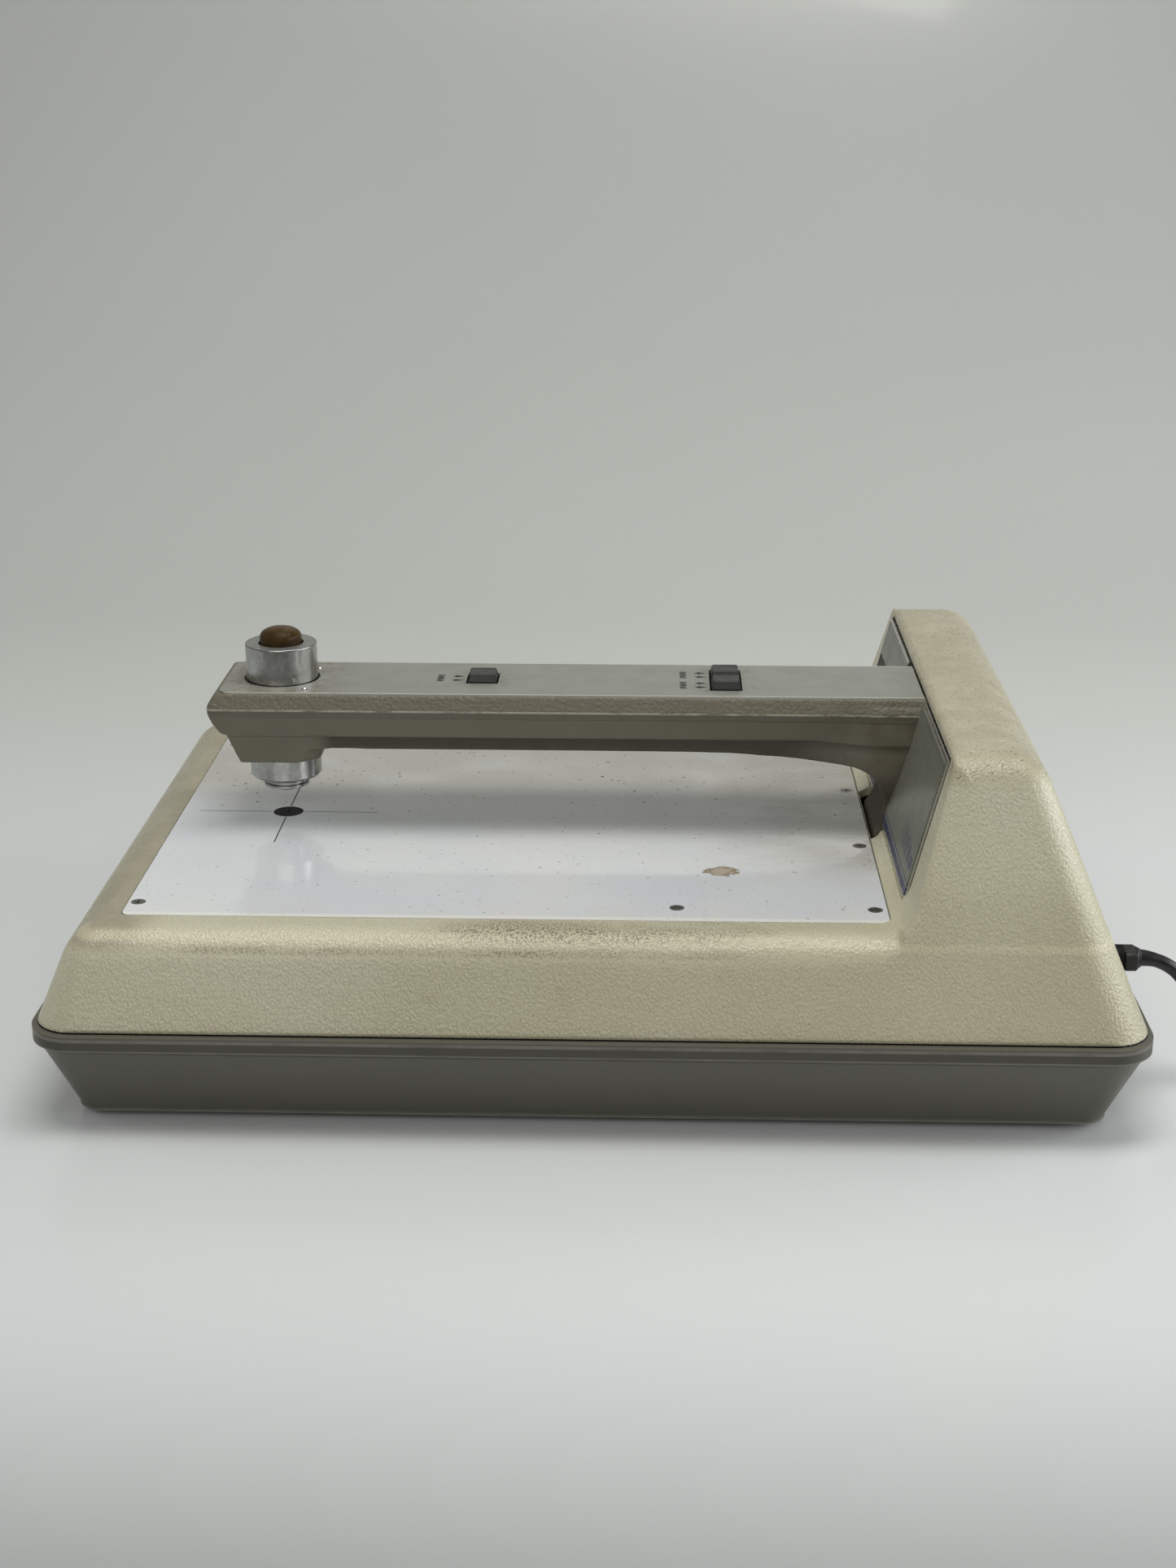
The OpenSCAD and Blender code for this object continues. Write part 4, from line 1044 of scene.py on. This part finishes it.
def casting_finish(name):
    """Taupe paint: orange peel on the upper band, smooth below, rubbed pale along the lip. Painted highlight on
    the lip, painted shade on the keel, and painted light on the neck.
    """
    f = Finish(name, (0.135, 0.123, 0.084))
    f.paint((0.165, 0.152, 0.105), f.noise(18, 4, 0.6))
    up, out = f.z - TABLE_Z, f.x - AXIS_X
    # painted shade on the keel's underside and under the lip
    f.paint((0.034, 0.027, 0.013), up.step(41.5, 40.4) * out.step(17, 24) * 0.8)
    under = up.band(STEP_Z, LIP_Z - 0.6, 0.3) * abs(f.y).step(25, 26)
    f.paint((0.06, 0.055, 0.04), under * 0.25)
    # the lip, rubbed pale and painted with a highlight line, the parting step and the head's seam
    rubbed = f.noise(2.6, 3, 0.6, stretch=(0.25, 1, 1)).step(0.3, 0.55)
    # worn paint and a painted highlight along the lip
    f.paint((0.44, 0.425, 0.35), up.band(LIP_Z - 0.4, LIP_Z + 0.4, 0.25) * rubbed * 0.9)
    f.paint((0.035, 0.03, 0.02), up.band(STEP_Z - 0.35, STEP_Z + 0.05, 0.15) * 0.6)
    f.paint((0.05, 0.045, 0.033), up.band(HEAD_TOP - 0.5, HEAD_TOP, 0.2) * out.step(24, 14) * 0.6)
    # the neck: painted paler, as painted light that lifts its shading, and grimy, with a dark foot
    root = out.step(205, 250)
    f.paint((0.225, 0.205, 0.155), root * up.step(42, 36) * 0.8)
    f.paint((0.07, 0.055, 0.04), root * f.noise(9, 4, 0.7, shift=5).step(0.4, 0.7) * 0.4)
    foot = out.step(222, 238) * up.step(34, 20)
    f.paint((0.06, 0.05, 0.035), foot * 0.5)
    f.paint((0.06, 0.05, 0.04), f.specks(0.5, 0.03) * 0.6)
    f.relief(f.noise(1.5, 3, 0.55) * (up.step(LIP_Z - 1, LIP_Z) * 0.85 + 0.15), 0.7)
    f.relief(f.noise(0.4, 2, 0.5), 0.02)
    return f.done(foot * 0.4 + f.noise(8, 3, 0.6).step(0.3, 0.7, 0.32, 0.46))


def label_finish(name):
    """Satin grey-green plate, grimy round the tube and the keys, with a pale line along each long edge."""
    f = Finish(name, (0.235, 0.238, 0.205))
    f.paint((0.27, 0.272, 0.235), f.noise(30, 4, 0.6))
    by_tube = abs(f.x - AXIS_X).step(34, 16) * f.noise(4, 4, 0.7).step(0.42, 0.62)
    f.paint((0.13, 0.10, 0.06), by_tube * 0.55)
    zones = []
    for x, y, _ in map(middle, KEYS):
        zones.append(abs(f.x - x).step(16, 7) * abs(f.y - y).step(15, 8))
    by_keys = (zones[0] | zones[1] | zones[2]) * f.noise(3, 4, 0.7, shift=8).step(0.42, 0.66)
    f.paint((0.12, 0.10, 0.07), by_keys * 0.5)
    f.paint((0.56, 0.56, 0.50), abs(f.y).step(label_high[1] - 1.1, label_high[1] - 0.5) * 0.85)
    f.paint((0.08, 0.07, 0.05), f.specks(0.5, 0.035) * 0.6)
    scratch = f.noise(0.5, 2, 0.5, stretch=(0.08, 1, 1), shift=3).step(0.66, 0.72)
    f.paint((0.4, 0.4, 0.37), scratch * 0.3)
    f.relief(f.noise(0.3, 2, 0.5), 0.012)
    return f.done(f.noise(14, 3, 0.6, shift=4).step(0.3, 0.7, 0.3, 0.42))


def tube_finish(name):
    """Turned aluminium gone cloudy, with a few dark spots, and duller on its flat tops."""
    f = Finish(name, (0.47, 0.475, 0.46), metallic=1.0)
    f.paint((0.36, 0.36, 0.345), f.noise(3, 5, 0.7, stretch=(1, 1, 0.7)).step(0.35, 0.65))
    f.paint((0.16, 0.14, 0.12), f.specks(0.6, 0.03) * 0.8)
    f.relief(f.noise(0.8, 3, 0.6), 0.004)
    facing_up = f.split(f.node("ShaderNodeNewGeometry").outputs["Normal"])[2]
    flat_top = facing_up.step(0.85, 0.97)
    f.paint((0.5, 0.49, 0.45), flat_top * 0.5)
    return f.done(flat_top * 0.25 + f.noise(1.3, 4, 0.65, shift=6).step(0.3, 0.7, 0.2, 0.27))


def panel_film_finish(name):
    """Printed film on the panel: green-grey, a fine border, and a blue rule along the bottom."""
    f = Finish(name, (0.155, 0.16, 0.125), shine=0.22)
    f.paint((0.18, 0.184, 0.145), f.noise(25, 3, 0.5))
    up, across = up_front(f.x, f.z), abs(f.y)
    border_y = PANEL_EDGE - 3.3
    sides = across.band(border_y - 0.25, border_y + 0.25, 0.08) * up.step(9.9, 10.1)
    top = up.band(58.2, 58.7, 0.08) * across.step(border_y + 0.3, border_y + 0.2)
    f.paint((0.05, 0.055, 0.05), (sides | top) * 0.75)
    low = box_mm("overlay_near")[0]
    above_edge = up - up_front(low[0], low[2])
    f.paint((0.28, 0.29, 0.29), above_edge.band(3.3, 4.1, 0.1) * 0.6)
    f.paint((0.012, 0.017, 0.075), above_edge.band(4.1, 4.9, 0.1) | above_edge.band(-2, 3.3, 0.12))
    # a generic step wedge: five patches, each paler than the last
    for i in range(5):
        start = -102 + 7.5 * i
        patch = f.y.band(start, start + 6, 0.08) * up.band(14.5, 19.5 + 1.6 * i, 0.08)
        f.paint((0.03, 0.038, 0.10), patch * (0.95 - 0.17 * i))
    f.paint((0.1, 0.09, 0.07), f.specks(0.5, 0.02) * 0.5)
    f.relief(f.noise(60, 2, 0.5), 0.08)
    return f.done(f.noise(10, 3, 0.6).step(0.3, 0.7, 0.26, 0.36))


def button_finish(name):
    """Amber-brown button, rubbed dull on its crown, with painted shade low down in the gap round it."""
    f = Finish(name, (0.038, 0.022, 0.006), shine=0.12)
    f.paint((0.064, 0.040, 0.012), f.noise(4, 4, 0.65).step(0.35, 0.65))
    up = f.z - TABLE_Z
    worn = up.step(79.8, 81.6) * f.noise(3, 4, 0.7, shift=3).step(0.35, 0.6)
    f.paint((0.15, 0.095, 0.05), worn * 0.45)
    # painted shade on the button's lower side, in the gap round it
    f.paint((0.03, 0.02, 0.012), up.step(77, 75) * 0.8)
    f.relief(f.noise(2.2, 3, 0.6), 0.05)
    return f.done(f.noise(5, 4, 0.65, shift=5).step(0.3, 0.7, 0.26, 0.46))


def key_finish(name):
    """Dark grey key: handled paler on top, with darker sloping sides."""
    f = Finish(name, (0.030, 0.032, 0.031), shine=0.28)
    f.paint((0.040, 0.042, 0.041), f.noise(5, 4, 0.6))
    from_top = f.z - box_mm("key_front")[1][2]
    f.paint((0.014, 0.015, 0.014), from_top.step(-0.35, -0.7))
    f.paint((0.07, 0.07, 0.068), from_top.band(-0.3, -0.1, 0.12) * 0.5)
    f.paint((0.14, 0.13, 0.11), f.specks(0.4, 0.03) * 0.4)
    f.relief(f.noise(0.4, 2, 0.5), 0.008)
    return f.done(f.noise(4, 3, 0.6).step(0.3, 0.7, 0.36, 0.5))


def glass(name, tint, roughness, cover):
    """Clear or tinted glass with faint smears."""
    f = Finish(name, tint)
    f.set("Transmission Weight", 1 - cover)
    f.set("IOR", 1.5)
    f.paint(tuple(min(1, c * 1.1) for c in tint), f.noise(6, 3, 0.6))
    f.relief(f.noise(9, 2, 0.5), 0.01)
    return f.done(f.noise(5, 3, 0.6).step(0.3, 0.7, roughness, roughness + 0.08))


SPECIAL = {
    "shell_plastic": shell_finish, "tray_plastic": tray_finish, "table_acrylic": table_finish,
    "casting_paint": casting_finish, "label_paint": label_finish, "tube_aluminium": tube_finish,
    "panel_film": panel_film_finish, "button_amber": button_finish, "key_plastic": key_finish,
}

# tint, roughness, and how much of it is solid colour
GLASSES = {
    "clear_glass": ((0.9, 0.94, 0.95), 0.03, 0.05),
    "filter_glass": ((0.3, 0.42, 0.3), 0.05, 0.3),
    "smoked_acrylic": ((0.05, 0.012, 0.012), 0.06, 0.8),
}

# colour, its share in the dark mottles, their size, roughness range, grain size and depth,
# and then, where they aren't the usual ones: metallic, dust, coat and shine
GENERAL = {
    "foot_rubber": ((0.022, 0.022, 0.023), 0.82, 24, (0.7, 0.85), (0.3, 0.02)),
    "gasket_rubber": ((0.008, 0.008, 0.008), 0.82, 24, (0.7, 0.85), (0.3, 0.02)),
    "screw_steel": ((0.4, 0.39, 0.36), 0.6, 2, (0.28, 0.5), (0.25, 0.01), 1, 0.06),
    "black_ink": ((0.012, 0.012, 0.013), 0.82, 5, (0.5, 0.6), (0.3, 0.004), 0, 0.02, 0, 0.12),
    "black_plastic": ((0.010, 0.010, 0.010), 0.82, 6, (0.5, 0.6), (0.3, 0.006), 0, 0.02, 0, 0.12),
    "white_plastic": ((0.72, 0.72, 0.69), 0.82, 30, (0.4, 0.55), (0.5, 0.01)),
    "lamp_glass": ((0.84, 0.85, 0.83), 0.95, 14, (0.2, 0.3), (0.4, 0.004), 0, 0.02, 0.5),
    "sheet_aluminium": ((0.66, 0.665, 0.66), 0.82, 9, (0.3, 0.45), (0.3, 0.008), 1),
    "ceramic": ((0.72, 0.69, 0.62), 0.82, 7, (0.6, 0.75), (0.4, 0.02)),
    "panel_aluminium": ((0.66, 0.66, 0.64), 0.92, 14, (0.22, 0.3), (0.3, 0.002), 1, 0.0),
    "digit_plastic": ((0.5, 0.48, 0.46), 0.82, 9, (0.35, 0.5), (0.4, 0.006)),
    "circuit_board": ((0.02, 0.14, 0.055), 0.75, 4, (0.25, 0.4), (0.9, 0.015), 0, 0.02, 0.3),
    "pedestal_steel": ((0.45, 0.45, 0.43), 0.75, 8, (0.3, 0.45), (0.3, 0.008), 1),
    "chrome_screws": ((0.8, 0.8, 0.79), 0.8, 1.5, (0.08, 0.2), (0.3, 0.003), 1),
    "bushing_bronze": ((0.42, 0.27, 0.10), 0.7, 3, (0.35, 0.55), (0.3, 0.015), 1),
    "ribbon_plastic": ((0.4, 0.41, 0.42), 0.82, 6, (0.4, 0.55), (0.4, 0.01)),
    "spring_steel": ((0.42, 0.42, 0.41), 0.7, 2, (0.25, 0.4), (0.2, 0.004), 1),
    "lead_plastic": ((0.012, 0.012, 0.012), 0.82, 6, (0.4, 0.55), (0.4, 0.02)),
    "lead_rubber": ((0.009, 0.009, 0.01), 0.82, 12, (0.26, 0.4), (0.5, 0.008)),
}


def finish_for(slot):
    if slot in SPECIAL:
        return SPECIAL[slot](slot)
    if slot in GLASSES:
        return glass(slot, *GLASSES[slot])
    return moulded(slot, *GENERAL[slot])


def dress_all():
    """Gives each piece and each shown CAD node the material of its slot."""
    made = {}
    node_slots = {part["node"]: part["material_slot"] for part in frame["record"]["subparts"]}
    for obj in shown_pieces():
        slot = obj.get("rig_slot") or node_slots[obj.name]
        if slot not in made:
            made[slot] = finish_for(slot)
        obj.data.materials.clear()
        obj.data.materials.append(made[slot])


# ---- stage, lights and camera

FLOOR_Z = -3.0


def backdrop_finish():
    """Pale glossy sheet, with painted shade darkening it towards the camera. Seen from behind it is clear."""
    f = Finish("backdrop", (0.72, 0.74, 0.745), coat=0.3)
    f.set("Coat Roughness", 0.08)
    shade = f.noise(420, 1, 0.3).step(0.2, 0.8)
    f.paint((0.74, 0.76, 0.765), shade)
    floor = f.colour
    f.colour = (0.68, 0.695, 0.665)
    f.paint((0.70, 0.715, 0.685), shade)
    f.paint(floor, f.y.step(420, 120))
    # painted shade on the floor nearest the camera
    f.paint((0.10, 0.10, 0.095), f.y.step(-250, -560))
    material = f.done(0.27)
    behind = f.node("ShaderNodeNewGeometry").outputs["Backfacing"]
    clear = f.node("ShaderNodeBsdfTransparent").outputs[0]
    choose = f.node("ShaderNodeMixShader", {0: behind, 1: f.bsdf.outputs[0], 2: clear})
    f.tree.links.new(choose.outputs[0], f.tree.nodes["Material Output"].inputs["Surface"])
    return material


def stage():
    """A pale sheet that runs along the floor and curves up behind the object."""
    half, front, bend_at, bend_r, height = 2600, -2600, 620, 700, 2400
    line = [(front, FLOOR_Z), (bend_at * 0.5, FLOOR_Z), (bend_at, FLOOR_Z)]
    for a in (math.pi / 2 * i / 24 for i in range(1, 25)):
        line.append((bend_at + bend_r * math.sin(a), FLOOR_Z + bend_r * (1 - math.cos(a))))
    line.append((bend_at + bend_r, height))
    points = [(x, y, z) for y, z in line for x in (-half, half)]
    faces = [[2 * i, 2 * i + 1, 2 * i + 3, 2 * i + 2] for i in range(len(line) - 1)]
    sheet = piece("backdrop_sheet", points, faces, body=None)
    sheet.data.materials.append(backdrop_finish())


def area_light(name, place, target, size, power, colour):
    data = bpy.data.lights.new(name, "AREA")
    data.shape = "RECTANGLE"
    data.size, data.size_y = size[0] * MM, size[1] * MM
    data.energy = power
    data.color = colour
    lamp = added(name, data)
    lamp.location = Vector(place) * MM
    lamp.rotation_euler = (Vector(target) - Vector(place)).to_track_quat("-Z", "Y").to_euler()
    return lamp


def room():
    """Even grey surroundings that are darker on the camera's side."""
    world = bpy.data.worlds.new("room")
    bpy.context.scene.world = world
    world.use_nodes = True
    tree = world.node_tree
    sky = tree.nodes["Background"]
    sky.inputs["Color"].default_value = (0.88, 0.9, 0.9, 1)
    coords = tree.nodes.new("ShaderNodeTexCoord")
    split = tree.nodes.new("ShaderNodeSeparateXYZ")
    level = tree.nodes.new("ShaderNodeMapRange")
    front, back = 0.1, 0.32
    for socket, value in zip(level.inputs[1:5], (-0.7, 0.4, front, back)):
        socket.default_value = value
    tree.links.new(coords.outputs["Generated"], split.inputs[0])
    tree.links.new(split.outputs["Y"], level.inputs[0])
    tree.links.new(level.outputs[0], sky.inputs["Strength"])


def lights():
    warm, cool = (1.0, 0.98, 0.94), (0.98, 0.99, 1.0)
    area_light("overhead", (60, -130, 1500), (0, 0, 60), (1100, 520), 12, (1.0, 0.99, 0.96))
    area_light("front_fill", (-300, -1500, 900), (0, 0, 60), (1400, 900), 5.5, warm)
    area_light("right_panel", (1050, -100, 380), (0, -40, 60), (1200, 500), 6.5, cool)
    left = area_light("left_panel", (-1050, 60, 380), (0, 0, 60), (900, 700), 1.5, cool)
    left.visible_glossy = False
    bpy.context.scene.view_settings.view_transform = "Standard"


def camera():
    """Looks down a little from in front of the long side, just right of the middle."""
    data = bpy.data.cameras.new("camera")
    data.sensor_width = 36
    data.lens = 51.17
    data.clip_start, data.clip_end = 0.05, 30
    eye = added("camera", data)
    pitch, yaw = math.radians(18.728), math.radians(1.740)
    level = math.cos(pitch)
    ahead = Vector((-math.sin(yaw) * level, math.cos(yaw) * level, -math.sin(pitch)))
    eye.location = Vector((22.84, -896.69, 391.37)) * MM
    eye.rotation_euler = ahead.to_track_quat("-Z", "Y").to_euler()
    bpy.context.scene.camera = eye


top_shell()
arm_casting()
turned_parts()
spring()
for key in KEYS:
    key_cap(key)
power_parts()
label_marks()
for node, width in (("base_tray", 0.7), ("arm_label", 0.25), ("light_table", 0.3),
                    ("panel_near", 0.35), ("panel_far", 0.35), ("rubber_feet", 0.5)):
    soften(frame["nodes"][node], width)
dress_all()
stage()
room()
lights()
camera()
